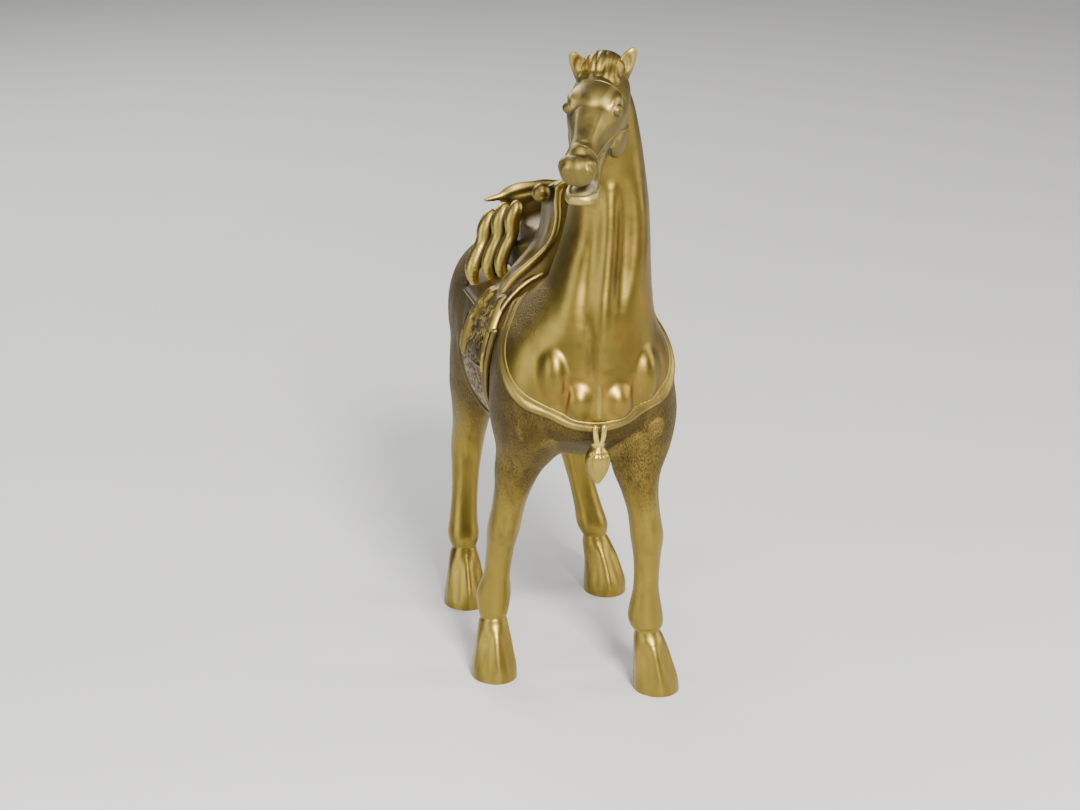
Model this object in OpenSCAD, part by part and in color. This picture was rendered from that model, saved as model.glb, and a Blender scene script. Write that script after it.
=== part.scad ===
// Saddled standing horse, a small statue of separately cast and joined bronze sections.
// The horse faces -Y and its left side is +X. Its soles stand on Z = 0. Units are millimetres.

/* [Castings] */
// Wall of the hollow torso and neck
wall = 3; // [2:0.5:4]
// Radius of the tenon on top of each leg
tenon_r = 3.4; // [2.5:0.1:3.8]
// Length of the tenon on top of each leg
tenon_len = 11; // [8:1:12]
// Radius of the tube on the neck that plugs into the torso
spigot_r = 12; // [9:0.5:13]
// Radial clearance of each tenon, tube and pin in its socket
clearance = 0.05; // [0.02:0.01:0.1]

/* [Harness] */
// Half width of the breast collar
collar_w = 1.9; // [1.2:0.1:2.4]
// Thickness of the breast collar above the skin
collar_t = 1.1; // [0.8:0.1:1.4]
// Thickness of the bridle straps
bridle_t = 0.8; // [0.6:0.1:1.2]
// Largest radius of the tassel
tassel_r = 4; // [3:0.1:4.5]

/* [Saddle] */
// Thickness of the saddle cloth and of the mud flaps
cloth_t = 1.3; // [0.8:0.1:1.6]
// Thickness of the saddle flaps
flap_t = 2; // [1.5:0.1:2.6]
// Thickness of the seat at its lowest place
seat_t = 4; // [3:0.5:6]
// Height of the pommel above the ground
pommel_z = 154; // [150:1:158]
// Height of the cantle above the ground
cantle_z = 147; // [144:1:150]
// Radius of one pleat of the saddle cover
pleat_r = 2.3; // [1.5:0.1:2.6]

/* [Hidden] */
bronze = [0.60, 0.46, 0.20];
dark_bronze = [0.42, 0.33, 0.19];
bright_bronze = [0.78, 0.62, 0.28];
// Moves the horse so that the middle of its box stands over the origin
home = [-0.2, 6.6, 0];
// Gap between two curved faces that lie on each other
skin_gap = 0.12;

// ---- curves, sections and skins ----

function row(t, i) = t[max(0, min(len(t) - 1, i))];
// Catmull-Rom value of table t at the row number r, which may lie between two rows
function at(t, r) = let (
    i = max(0, min(floor(r), len(t) - 2)), k = r - i,
    a = row(t, i - 1), b = row(t, i), c = row(t, i + 1), d = row(t, i + 2)
  ) 0.5 * (2 * b + (c - a) * k + (2 * a - 5 * b + 4 * c - d) * k * k + (3 * b - a - 3 * c + d) * k * k * k);
// The rows of t from number r0 to number r1, with n steps to a row
function span(t, r0, r1, n) = [for (k = [round(n * r0):round(n * r1)]) at(t, k / n)];

// A section is [x, y, z, tilt, yaw, half width, reach along v, reach against v].
// Its plane holds u, which is +X turned by yaw, and v, which is +Z leaned towards +Y by tilt.
function u_of(s) = [cos(s[4]), sin(s[4]), 0];
function v_of(s) = [-sin(s[4]) * sin(s[3]), cos(s[4]) * sin(s[3]), cos(s[3])];
// The point of section s at an angle from v towards u, moved out by off
function on_section(s, angle, off = 0) =
  [s[0], s[1], s[2]] + (s[5] + off) * sin(angle) * u_of(s)
  + ((cos(angle) > 0 ? s[6] : s[7]) + off) * cos(angle) * v_of(s);
function ring(s, n, off = 0) = [for (j = [0:n - 1]) on_section(s, 360 * j / n, off)];

// The four-sided strips that close a ring of n points, numbered from first on
function strips(n, first) = [
  for (j = [0:n / 2 - 2]) [first + j, first + j + 1, first + n - 2 - j, first + n - 1 - j]
];
// A closed skin through rings of an even number of points, which run clockwise as seen from
// the end they lead to
module skin(rings) {
  n = len(rings[0]);
  last = len(rings) - 1;
  polyhedron(
    points = [for (r = rings) for (p = r) p],
    faces = concat(
      [for (i = [0:last - 1]) for (j = [0:n - 1]) let (k = (j + 1) % n)
        [i * n + j, i * n + k, (i + 1) * n + k]],
      [for (i = [0:last - 1]) for (j = [0:n - 1]) let (k = (j + 1) % n)
        [i * n + j, (i + 1) * n + k, (i + 1) * n + j]],
      [for (f = strips(n, 0)) [f[3], f[2], f[1], f[0]]],
      strips(n, last * n)
    )
  );
}
module loft(sections, n, off = 0) {
  skin([for (s = sections) ring(s, n, off)]);
}
// A sheet on the skin of a loft, from the height low to high; it reaches from the angle
// from[i] to the angle to[i] at section i
module sheet(sections, from, to, steps, low, high) {
  skin([for (i = [0:len(sections) - 1]) let (s = sections[i], a = from[i], b = to[i]) concat(
    [for (j = [0:steps]) on_section(s, a + (b - a) * j / steps, high)],
    [for (j = [steps:-1:0]) on_section(s, a + (b - a) * j / steps, low)]
  )]);
}
function same(sections, angle) = [for (s = sections) angle];
// 1 in the middle of a list of n values and 0 at both ends, along a round curve
function dome(n) = [for (i = [0:n - 1]) sqrt(max(0, 1 - pow(2 * i / (n - 1) - 1, 2)))];
// Fuses curved shapes into one faceted skin
module cast_as_one() {
  resize([0, 0, 0]) union() children();
}
// Fits the first shape around the shapes that follow it
module fitted() {
  resize([0, 0, 0]) difference() {
    children(0);
    children([1:$children - 1]);
  }
}
module finish(c) {
  color(c) translate(home) children();
}
// Mirrors a right-hand piece to the left side
module on_side(side) {
  mirror([side > 0 ? 1 : 0, 0, 0]) children();
}

// ---- the torso, from the rump to the plane under the breast collar ----

body_sides = 28;
body_steps = 3;
// Angle between two neighbouring ribs of the torso and neck
rib = 360 / body_sides;
BODY = [
  [0, 59, 106, -40, 0, 6, 6, 6],
  [0, 55.5, 104, -32, 0, 14, 14, 15],
  [0, 48, 102, -20, 0, 21.5, 21.5, 22],
  [0, 35, 99.5, -9, 0, 26, 26.5, 26],
  [0, 18, 98, -2, 0, 26.5, 27, 27],
  [0, 2, 98, 3, 0, 26.5, 27, 26.5],
  [0, -14, 99, 12, 0, 26.5, 27, 28],
  [0, -28, 101.5, 28, 0, 26, 26, 31],
  [0, -41, 104.5, 46, 0, 22.4, 23.7, 23.7]
];
collar_row = len(BODY) - 1;
// The hollow stops short of the collar plane and leaves a thick ring for the neck's tube
hollow_from = 1;
hollow_to = 7.34;
collar_centre = [BODY[collar_row][0], BODY[collar_row][1], BODY[collar_row][2]];
collar_tilt = BODY[collar_row][3];

// ---- the neck, from the collar plane to the poll ----

neck_steps = 3;
NECK = [
  BODY[collar_row],
  [1.6, -41.5, 117, 66, 0, 19.6, 17, 16.8],
  [5.0, -38.5, 130, 80, 0, 15.2, 15.6, 15.4],
  [7.0, -37, 145, 86, 0, 12.6, 13.8, 13.4],
  [7.0, -37, 160, 88, 0, 11, 11.6, 11.2],
  [6.0, -38.5, 173, 80, -6, 9.8, 10, 9.6],
  [4.6, -41, 183, 66, -14, 8, 8.4, 8.2]
];
neck_hollow_from = 0.34;
neck_hollow_to = 4.67;
spigot_len = 7;
spigot_wall = 2.5;
neck_bore_len = 17;

// ---- the head, from the poll to the lips, and the lower jaw ----

head_sides = 24;
head_steps = 2;
HEAD = [
  [6.4, -36.5, 186, -16, -22, 4.5, 5, 6],
  [4.6, -41, 186.5, -18, -22, 7.8, 8.6, 10],
  [1.9, -47.5, 184.2, -22, -22, 8.6, 9.4, 12],
  [-1.2, -55, 181, -26, -22, 8.8, 8.8, 12],
  [-4.3, -62, 177.8, -27, -22, 6.8, 7.4, 9],
  [-7.4, -69, 174.8, -27, -22, 5.2, 5.8, 6],
  [-10.2, -75.2, 172, -28, -22, 5.5, 5.8, 4.2],
  [-12, -79.4, 170, -30, -22, 4.8, 4.9, 3.2],
  [-12.8, -81.2, 169.2, -30, -22, 2.4, 2.6, 1.5]
];
JAW = [
  [-0.4, -55, 173, -36, -22, 6, 5, 4],
  [-4, -62.5, 169.8, -34, -22, 4.4, 3.4, 3.2],
  [-7.2, -69, 167, -32, -22, 4, 2.2, 2.6],
  [-9.6, -73.8, 165.2, -28, -22, 3.8, 1.7, 2.3],
  [-10.6, -76, 164.6, -26, -22, 1.8, 1, 1.2]
];
ear_sides = 10;
EAR_RIGHT = [
  [-1.4, -41.5, 188.5, 95, -20, 2.8, 2.2, 1.6],
  [-2.4, -41.8, 192, 100, -20, 3, 2, 1.2],
  [-3.4, -42.6, 195.2, 104, -20, 2.7, 1.6, 0.9],
  [-4.1, -43.2, 197.6, 104, -20, 1.6, 1, 0.7],
  [-4.3, -43.4, 198.5, 104, -20, 0.6, 0.5, 0.4]
];
EAR_LEFT = [
  [7.6, -44, 188, 95, -20, 2.8, 2.2, 1.6],
  [8.8, -44.4, 192.4, 100, -20, 3, 2, 1.2],
  [9.9, -44.8, 196, 104, -20, 2.8, 1.6, 0.9],
  [10.6, -45.1, 198.8, 104, -20, 1.7, 1, 0.7],
  [10.8, -45.2, 199.9, 104, -20, 0.6, 0.5, 0.4]
];
FORELOCK = [
  [4.2, -41.5, 195, -15, -20, 3, 1.6, 3],
  [3.2, -44.5, 195, -20, -20, 4.6, 2.2, 3],
  [2.0, -48, 193.8, -28, -20, 5.2, 2, 3],
  [0.9, -51.4, 191.5, -32, -20, 4, 1.5, 3]
];
dowel_r = 2.4;
dowel_len = 16;
dowel_foot = [5.2, -40, 173];

// ---- the legs ----

// Height, half width, reach to the rear and reach to the front, from the sole up
FRONT_LEG = [
  [0, 7.0, 8.6, 9.4], [4, 6.7, 8.2, 8.7], [10, 5.7, 6.7, 6.9], [15.4, 4.7, 5.5, 5.3],
  [18.8, 4.2, 4.8, 4.6], [22.6, 5.3, 5.7, 5.3], [26.6, 5.0, 5.3, 5.0], [33, 4.0, 4.3, 4.1],
  [42, 4.2, 4.5, 4.4], [49.5, 5.1, 5.3, 5.5], [57, 5.0, 5.7, 5.5], [64, 5.8, 7.0, 6.3],
  [70, 7.3, 8.8, 7.6], [78, 9.6, 12, 10], [88, 11.2, 14, 12], [97, 10.4, 12, 10]
];
HIND_LEG = [
  [0, 6.8, 8.0, 8.8], [4, 6.5, 7.7, 8.2], [10, 5.5, 6.4, 6.5], [15.4, 4.6, 5.2, 5.0],
  [18.6, 4.2, 4.7, 4.5], [22.4, 5.0, 5.5, 5.1], [28, 4.5, 4.9, 4.6], [36, 4.2, 4.5, 4.4],
  [44.5, 4.6, 5.6, 5.2], [51, 5.2, 6.4, 6.0], [59, 5.8, 7.2, 7.4], [67, 6.9, 9.2, 9.4],
  [76, 8.9, 12.5, 12.5], [87, 10, 14.5, 14.5], [97, 8, 12, 12]
];
// Centre of each leg at those heights
FRONT_LEFT = [
  [21.4, -42.4], [21.0, -42.5], [20.1, -42.7], [19.3, -42.6], [18.6, -42.2], [18.2, -41.8],
  [18.1, -41.9], [18.1, -42.4], [18.2, -43.0], [18.0, -43.4], [17.0, -43.4], [15.8, -43.0],
  [15.2, -42.0], [16.2, -39.0], [16.4, -35.0], [15.3, -31.0]
];
FRONT_RIGHT = [
  [-24.8, -22.2], [-24.9, -22.4], [-25.0, -22.5], [-24.9, -22.1], [-24.8, -21.5], [-24.6, -21.0],
  [-24.5, -21.3], [-24.0, -23.0], [-23.4, -25.6], [-22.7, -27.6], [-21.6, -29.6], [-20.3, -31.6],
  [-19.0, -33.0], [-16.0, -33.5], [-15.2, -33.0], [-14.0, -31.0]
];
HIND_LEFT = [
  [25.4, 43.6], [25.1, 43.6], [24.3, 44.2], [23.1, 45.1], [22.4, 45.6], [21.6, 46.1],
  [20.4, 47.0], [18.6, 48.4], [16.9, 50.0], [16.0, 50.8], [15.2, 48.4], [14.9, 44.0],
  [14.9, 39.5], [14.0, 36.5], [12.0, 34.0]
];
HIND_RIGHT = [
  [-21.6, 41.2], [-21.6, 41.3], [-21.6, 41.8], [-21.6, 42.8], [-21.5, 43.3], [-21.5, 43.9],
  [-21.2, 45.0], [-20.5, 46.6], [-19.7, 48.6], [-19.0, 49.6], [-18.3, 47.6], [-18.0, 43.8],
  [-17.4, 39.5], [-15.6, 36.5], [-12.5, 34.0]
];
leg_sides = 20;
leg_steps = 2;
front_joint = 12;
hind_joint = 11;
// Profile, path, row of the joint with the torso, and turn of the hoof, for each leg
LEG_FL = [FRONT_LEG, FRONT_LEFT, front_joint, 2];
LEG_FR = [FRONT_LEG, FRONT_RIGHT, front_joint, -10];
LEG_HL = [HIND_LEG, HIND_LEFT, hind_joint, 4];
LEG_HR = [HIND_LEG, HIND_RIGHT, hind_joint, -4];
LEGS = [LEG_FL, LEG_FR, LEG_HL, LEG_HR];
leg_pin_r = 1;
leg_pin_up = 6;
leg_pin_half = 5.4;
// The turn of a hoof has faded out at this row
hoof_turn_rows = 8;

function leg_sections(leg) = [
  for (i = [0:len(leg[0]) - 1]) let (p = leg[0][i], c = leg[1][i])
    [c[0], c[1], p[0], 90, leg[3] * max(0, 1 - i / hoof_turn_rows), p[1], p[2], p[3]]
];
function joint_of(leg) = [leg[1][leg[2]][0], leg[1][leg[2]][1] + 0.5, leg[0][leg[2]][0]];

module leg_casting(leg) {
  difference() {
    union() {
      loft(span(leg_sections(leg), 0, leg[2], leg_steps), leg_sides);
      translate(joint_of(leg) - [0, 0, 1]) cylinder(r = tenon_r, h = tenon_len + 1, $fn = 48);
    }
    leg_pin(leg, clearance);
  }
}
// A cross pin through the tenon, with its ends in the torso's metal
module leg_pin(leg, grow = 0) {
  translate(joint_of(leg) + [0, leg_pin_half + grow, leg_pin_up]) rotate([90, 0, 0])
    cylinder(r = leg_pin_r + grow, h = 2 * (leg_pin_half + grow), $fn = 32);
}
module leg_socket(leg) {
  translate(joint_of(leg) - [0, 0, 1])
    cylinder(r = tenon_r + clearance, h = tenon_len + 1 + clearance, $fn = 48);
}

// ---- castings ----

module torso_skin() {
  cast_as_one() {
    loft(span(BODY, 0, collar_row, body_steps), body_sides);
    for (leg = LEGS) loft(span(leg_sections(leg), leg[2], len(leg[0]) - 1, leg_steps), leg_sides);
  }
}
module neck_skin() {
  loft(span(NECK, 0, len(NECK) - 1, neck_steps), body_sides);
}
module head_skin() {
  cast_as_one() {
    loft(span(HEAD, 0, len(HEAD) - 1, head_steps), head_sides);
    loft(span(JAW, 0, len(JAW) - 1, head_steps), head_sides);
  }
}
// Stands a shape on the collar plane, with +Z towards the neck
module on_collar_plane() {
  translate(collar_centre) rotate([90 - collar_tilt, 0, 0]) children();
}
NECK_PIN_ANGLES = [45, 135, 225, 315];
neck_pin_r = 0.9;
neck_pin_in = 8;
neck_pin_out = 17;
module neck_pin_set(grow = 0) {
  on_collar_plane() for (a = NECK_PIN_ANGLES) rotate([0, 0, a])
    translate([neck_pin_in - grow, 0, -spigot_len / 2]) rotate([0, 90, 0])
      cylinder(r = neck_pin_r + grow, h = neck_pin_out - neck_pin_in + 2 * grow, $fn = 32);
}
SADDLE_PINS = [[9, -6], [-9, -6], [9, 14], [-9, 14]];
saddle_pin_r = 0.9;
saddle_pin_low = 119;
saddle_pin_high = 127.2;
module saddle_pin_set(grow = 0) {
  for (p = SADDLE_PINS) translate([p[0], p[1], saddle_pin_low - grow])
    cylinder(r = saddle_pin_r + grow, h = saddle_pin_high - saddle_pin_low + 2 * grow, $fn = 32);
}
tail_foot = [0, 54.5, 116.5];
tail_tenon_r = 1.8;
tail_tenon_len = 9;
tail_lean = 65;
module tail_tenon(grow = 0) {
  translate(tail_foot) rotate([-tail_lean, 0, 0]) translate([0, 0, -tail_tenon_len / 2 - grow])
    cylinder(r = tail_tenon_r + grow, h = tail_tenon_len + 2 * grow, $fn = 32);
}
module head_dowel_shape(grow = 0) {
  translate(dowel_foot - [0, 0, grow]) cylinder(r = dowel_r + grow, h = dowel_len + 2 * grow, $fn = 40);
}

module torso() {
  finish(dark_bronze) difference() {
    torso_skin();
    loft(span(BODY, hollow_from, hollow_to, 2), body_sides, -wall);
    on_collar_plane() translate([0, 0, -2 * spigot_len])
      cylinder(r = spigot_r + clearance, h = 3 * spigot_len, $fn = 96);
    for (leg = LEGS) leg_socket(leg);
    for (leg = LEGS) leg_pin(leg, clearance);
    neck_pin_set(clearance);
    saddle_pin_set(clearance);
    tail_tenon(clearance);
  }
}
module neck() {
  finish(bronze) difference() {
    union() {
      neck_skin();
      on_collar_plane() translate([0, 0, -spigot_len]) cylinder(r = spigot_r, h = spigot_len + 1, $fn = 96);
    }
    loft(span(NECK, neck_hollow_from, neck_hollow_to, 2), body_sides, -wall);
    on_collar_plane() translate([0, 0, -spigot_len - 1])
      cylinder(r = spigot_r - spigot_wall, h = neck_bore_len, $fn = 80);
    neck_pin_set(clearance);
    head_dowel_shape(clearance);
  }
}
module head() {
  finish(bronze) difference() {
    fitted() {
      head_skin();
      neck_skin();
    }
    head_dowel_shape(clearance);
  }
}
module ear(sections) {
  finish(bronze) fitted() {
    loft(span(sections, 0, len(sections) - 1, 2), ear_sides);
    head_skin();
    neck_skin();
  }
}
module forelock() {
  finish(bronze) fitted() {
    loft(span(FORELOCK, 0, len(FORELOCK) - 1, 2), 12);
    head_skin();
    neck_skin();
    loft(span(EAR_RIGHT, 0, len(EAR_RIGHT) - 1, 2), ear_sides);
    loft(span(EAR_LEFT, 0, len(EAR_LEFT) - 1, 2), ear_sides);
  }
}
mane_t = 2;
module mane() {
  finish(bronze) fitted() {
    mane_rows = span(NECK, 1, 5.67, neck_steps);
    sheet(mane_rows, same(mane_rows, -rib), same(mane_rows, rib), 2, skin_gap, mane_t);
    head_skin();
    torso_skin();
  }
}
TAIL = [
  [0, 53.5, 117.5, 150, 0, 3.4, 3, 3],
  [0, 58, 119.6, 165, 0, 3.7, 3.1, 3.1],
  [0, 62.6, 118.6, 200, 0, 3.9, 3.2, 3.2],
  [0, 65.6, 113.6, 240, 0, 4.1, 3.3, 3.3],
  [0, 66.4, 106, 268, 0, 4.3, 3.2, 3.2],
  [0, 65.6, 98, 280, 0, 3.4, 2.6, 2.6],
  [0, 64, 91, 286, 0, 1.2, 1, 1]
];
module leg(parts) {
  finish(bright_bronze) leg_casting(parts);
}
module tail() {
  finish(bronze) union() {
    fitted() {
      loft(span(TAIL, 0, len(TAIL) - 1, 3), 14);
      torso_skin();
    }
    tail_tenon();
  }
}

// ---- saddle ----

module cloth_shape() {
  rows = span(BODY, 3.67, 6.67, body_steps);
  sheet(rows, same(rows, -5 * rib), same(rows, 5 * rib), 10, skin_gap, cloth_t);
}
module saddle_cloth() {
  finish(dark_bronze) difference() {
    cloth_shape();
    saddle_pin_set(clearance);
  }
}
mud_flap_top = -5.1 * rib;
mud_flap_ends = 8;
mud_flap_drop = 64;
module mud_flap(side) {
  finish(dark_bronze) fitted() {
    on_side(side) {
      rows = span(BODY, 4.75, 6.75, 4);
      lower = [for (d = dome(len(rows))) mud_flap_top - mud_flap_ends - mud_flap_drop * pow(d, 0.8)];
      sheet(rows, lower, same(rows, mud_flap_top), 6, skin_gap, cloth_t);
    }
    torso_skin();
  }
}
flap_low = cloth_t + skin_gap;
flap_high = flap_low + flap_t;
module flap_shape(side) {
  on_side(side) {
    rows = span(BODY, 5, 6.75, 4);
    sheet(rows, same(rows, -7.2 * rib), same(rows, -4 * rib), 4, flap_low, flap_high);
  }
}
module saddle_flap(side) {
  finish(bronze) flap_shape(side);
}
seat_ribs = 3;
seat_taper = 0.66;
seat_dish = 3;
seat_shoulder = 4;
// Height of the seat over its lowest place, from its rear edge under the cantle to its front edge
SEAT_RISE = [9, 9, 7.5, 6, 5, 5, 5.5, 7, 9, 11];
module seat_shape() {
  rows = span(BODY, 3.67, 6.67, body_steps);
  skin([for (i = [0:len(rows) - 1]) concat(
    [for (j = [-seat_ribs:seat_ribs]) let (
        p = on_section(rows[i], j * rib, flap_low), rim = abs(j) / seat_ribs,
        rise = SEAT_RISE[i] + seat_t - seat_dish * (1 - rim)
      ) [p[0] * seat_taper, p[1], p[2]] + (rise + seat_shoulder * rim) * v_of(rows[i])],
    [for (j = [seat_ribs:-1:-seat_ribs]) on_section(rows[i], j * rib, flap_low)]
  )]);
}
module saddle_seat() {
  finish(dark_bronze) difference() {
    seat_shape();
    saddle_pin_set(clearance);
  }
}
// Lean of the arches to the rear, per millimetre above arch_z
arch_lean = 0.2;
arch_z = 140;
// An arch across the back; each row is [x, z, climb of the path in degrees, reach out, reach in]
function arch_sections(rows, y, half_thick) = [
  for (r = rows) [r[0], y + arch_lean * (r[1] - arch_z), r[1], r[2], 90, half_thick, r[3], r[4]]
];
POMMEL_ARCH = [
  [-20, 124, 62, 2, 4], [-15, 133, 60, 2, 6], [-10.5, 141.5, 62, 2, 8], [-7, 148.5, 56, 2, 9],
  [0, pommel_z - 2, 0, 2, 10], [7, 148.5, -56, 2, 9], [10.5, 141.5, -62, 2, 8], [15, 133, -60, 2, 6],
  [20, 124, -62, 2, 4]
];
knob_r = 2.7;
KNOBS = [[-9, -14, 150], [9, -14, 150]];
module pommel_shape() {
  loft(span(arch_sections(POMMEL_ARCH, -16, 1.8), 0, len(POMMEL_ARCH) - 1, 2), 12);
}
module saddle_below() {
  torso_skin();
  cloth_shape();
  seat_shape();
}
module pommel() {
  finish(bronze) fitted() {
    cast_as_one() {
      pommel_shape();
      for (p = KNOBS) translate(p) sphere(r = knob_r, $fn = 16);
    }
    saddle_below();
    flap_shape(-1);
    flap_shape(1);
    neck_skin();
  }
}
CANTLE_ARCH = [
  [-18.6, 140.3, 12, 0.5, 0.5], [-15, 141.2, 14, 1.3, 1.6], [-8, cantle_z - 4, 12, 1.5, 6],
  [0, cantle_z - 3, 0, 1.5, 8], [8, cantle_z - 4, -12, 1.5, 6], [15, 141.2, -14, 1.3, 1.6],
  [18.6, 140.3, -12, 0.5, 0.5]
];
module cantle_shape() {
  loft(span(arch_sections(CANTLE_ARCH, 21, 1.6), 0, len(CANTLE_ARCH) - 1, 2), 12);
}
module cantle() {
  finish(bronze) fitted() {
    cantle_shape();
    saddle_below();
  }
}
// Foot, belly, waist and head of each pleat on the right side, from the cantle forward
PLEATS = [
  [[-24.6, 12.5, 118.5], [-23.2, 12.5, 123], [-20.6, 13.5, 129], [-19.8, 14.5, 134.4], [-19.6, 15, 137]],
  [[-20.8, 8, 121], [-19.4, 8, 125], [-17.2, 9, 131], [-16.2, 9.8, 137], [-16, 10.2, 140]],
  [[-17.0, 3.6, 122], [-16, 3.6, 126], [-13.8, 4.2, 132], [-12.5, 4.8, 139], [-12.2, 5.2, 142]]
];
PLEAT_SIZES = [0.7, 1, 0.85, 1, 0.4];
function pleat_sections(points) = [
  for (i = [0:len(points) - 1]) let (p = points[i], r = pleat_r * PLEAT_SIZES[i])
    [p[0], p[1], p[2], 90, 0, r, r, r]
];
module pleats(side) {
  finish(bright_bronze) fitted() {
    on_side(side) cast_as_one() for (p = PLEATS) loft(span(pleat_sections(p), 0, len(p) - 1, 2), 10);
    saddle_below();
    flap_shape(side);
    cantle_shape();
  }
}

// ---- harness ----

collar_half_turn = 116;
collar_rings = 20;
// A strap of oval section along the rim of the collar plane
module collar_shape() {
  s = BODY[collar_row];
  sides = 8;
  normal = cross(u_of(s), v_of(s));
  skin([for (i = [0:collar_rings]) let (
      a = 180 + collar_half_turn * (1 - 2 * i / collar_rings),
      p = on_section(s, a, 0.4), out = on_section(s, a, 1.4) - p
    ) [for (j = [0:sides - 1]) let (t = 360 * j / sides)
      p + out * collar_t * cos(t) + normal * collar_w * sin(t)]
  ]);
}
// Torso and neck on both sides of their joint, in one piece and a hair thicker
module joint_core() {
  rows = [at(BODY, collar_row - 0.5), BODY[collar_row], at(NECK, 0.5)];
  loft(rows, body_sides, skin_gap);
}
module breast_collar() {
  finish(bronze) fitted() {
    collar_shape();
    joint_core();
  }
}
tassel_top = [-0.5, -57.4, 88];
TASSEL = [
  [0, 0], [1.6, -0.4], [1.9, -3], [1.5, -4.2], [3.3, -6.6], [tassel_r, -9.2],
  [3.3, -12.4], [1.4, -15.4], [0, -16.6]
];
module tassel() {
  finish(bright_bronze) fitted() {
    translate(tassel_top) rotate_extrude($fn = 20) polygon(TASSEL);
    torso_skin();
    joint_core();
    collar_shape();
  }
}
module head_strap(first_row, last_row, from, to) {
  rows = span(HEAD, first_row, last_row, 2 * head_steps);
  finish(bronze) fitted() {
    sheet(rows, same(rows, from), same(rows, to), ceil(abs(to - from) / 15), skin_gap, bridle_t);
    neck_skin();
    loft(span(JAW, 0, len(JAW) - 1, head_steps), head_sides);
    loft(span(FORELOCK, 0, len(FORELOCK) - 1, 2), 12);
    loft(span(EAR_RIGHT, 0, len(EAR_RIGHT) - 1, 2), ear_sides);
    loft(span(EAR_LEFT, 0, len(EAR_LEFT) - 1, 2), ear_sides);
  }
}
module browband() {
  head_strap(2, 2.25, -95, 95);
}
module noseband() {
  head_strap(4.75, 5, -115, 115);
}
module cheek_strap(from, to) {
  head_strap(2.25, 4.75, from, to);
}

// ---- pins ----

module leg_pins() {
  finish(bright_bronze) for (leg = LEGS) leg_pin(leg);
}
module neck_pins() {
  finish(bright_bronze) neck_pin_set();
}
module head_dowel() {
  finish(bright_bronze) head_dowel_shape();
}
module saddle_pins() {
  finish(bright_bronze) saddle_pin_set();
}

torso();
neck();
head();
ear(EAR_LEFT);  // ear_left
ear(EAR_RIGHT);  // ear_right
forelock();
mane();
tail();
leg(LEG_FL);  // leg_front_left
leg(LEG_FR);  // leg_front_right
leg(LEG_HL);  // leg_hind_left
leg(LEG_HR);  // leg_hind_right
saddle_cloth();
mud_flap(1);  // mud_flap_left
mud_flap(-1);  // mud_flap_right
saddle_flap(1);  // saddle_flap_left
saddle_flap(-1);  // saddle_flap_right
saddle_seat();
pommel();
cantle();
pleats(1);  // pleats_left
pleats(-1);  // pleats_right
breast_collar();
tassel();
browband();
noseband();
cheek_strap(98, 112);  // cheek_strap_left
cheek_strap(-112, -98);  // cheek_strap_right
leg_pins();
neck_pins();
head_dowel();
saddle_pins();
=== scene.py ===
"""Looks of the saddled bronze horse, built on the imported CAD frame.

Each casting is modelled like clay. A block of space holds the distance to the skin in millimetres,
shapes and brush strokes are worked into it, and the skin comes off as a mesh of small quads.
Clay coordinates are millimetres from a point between the feet: the horse faces -Y, its left is +X.
"""
import math

import bmesh
import bpy
import numpy as np
import openvdb
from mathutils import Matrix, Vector


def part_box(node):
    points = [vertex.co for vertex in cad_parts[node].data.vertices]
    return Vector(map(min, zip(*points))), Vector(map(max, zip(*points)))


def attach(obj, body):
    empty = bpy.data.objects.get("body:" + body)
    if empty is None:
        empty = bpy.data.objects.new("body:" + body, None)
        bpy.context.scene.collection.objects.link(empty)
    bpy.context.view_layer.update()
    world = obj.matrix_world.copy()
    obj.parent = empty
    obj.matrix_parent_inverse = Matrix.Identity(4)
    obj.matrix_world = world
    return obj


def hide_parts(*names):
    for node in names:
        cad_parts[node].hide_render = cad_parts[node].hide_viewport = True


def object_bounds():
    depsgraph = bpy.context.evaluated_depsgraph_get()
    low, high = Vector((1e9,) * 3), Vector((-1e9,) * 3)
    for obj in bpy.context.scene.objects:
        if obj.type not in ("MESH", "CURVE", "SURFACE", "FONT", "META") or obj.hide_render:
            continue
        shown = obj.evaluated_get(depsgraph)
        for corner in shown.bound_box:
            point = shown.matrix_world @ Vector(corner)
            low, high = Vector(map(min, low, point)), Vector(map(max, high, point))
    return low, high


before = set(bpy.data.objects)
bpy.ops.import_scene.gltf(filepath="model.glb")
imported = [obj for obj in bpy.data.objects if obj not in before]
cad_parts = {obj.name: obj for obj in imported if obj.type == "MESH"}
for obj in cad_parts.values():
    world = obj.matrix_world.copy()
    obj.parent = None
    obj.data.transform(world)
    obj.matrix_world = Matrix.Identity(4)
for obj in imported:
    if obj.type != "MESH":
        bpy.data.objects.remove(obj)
CAD_LOW, CAD_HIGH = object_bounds()
MM = 0.001

# The clay's zero point in the row frame: under the middle of the saddle cloth, whose rear edge
# lies 22.9 mm behind it, at the height of the soles.
CLOTH_LOW, CLOTH_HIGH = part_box("saddle_cloth")
CLOTH_REAR = 22.9
HOME = Vector(((CLOTH_LOW.x + CLOTH_HIGH.x) / 2, CLOTH_HIGH.y - CLOTH_REAR * MM, CAD_LOW.z))


# ---- clay ----

FAR = 5.0          # the distance stored where nothing is near, mm
TINY = 1e-6        # keeps divisions away from zero
EASE = 0.05        # added to a slope's square, so that flat clay makes no long jumps
BRUSH = 2.2        # how many widths away a stroke still acts
SETTLE = 2.5       # the furthest that a line moves to reach the skin, mm


def blend(a, b, soft):
    """The nearer of two distances, with a fillet of about the given size where they meet."""
    if soft <= 0:
        return np.minimum(a, b)
    share = np.clip(0.5 + 0.5 * (b - a) / soft, 0, 1)
    return b + (a - b) * share - soft * share * (1 - share)


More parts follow.
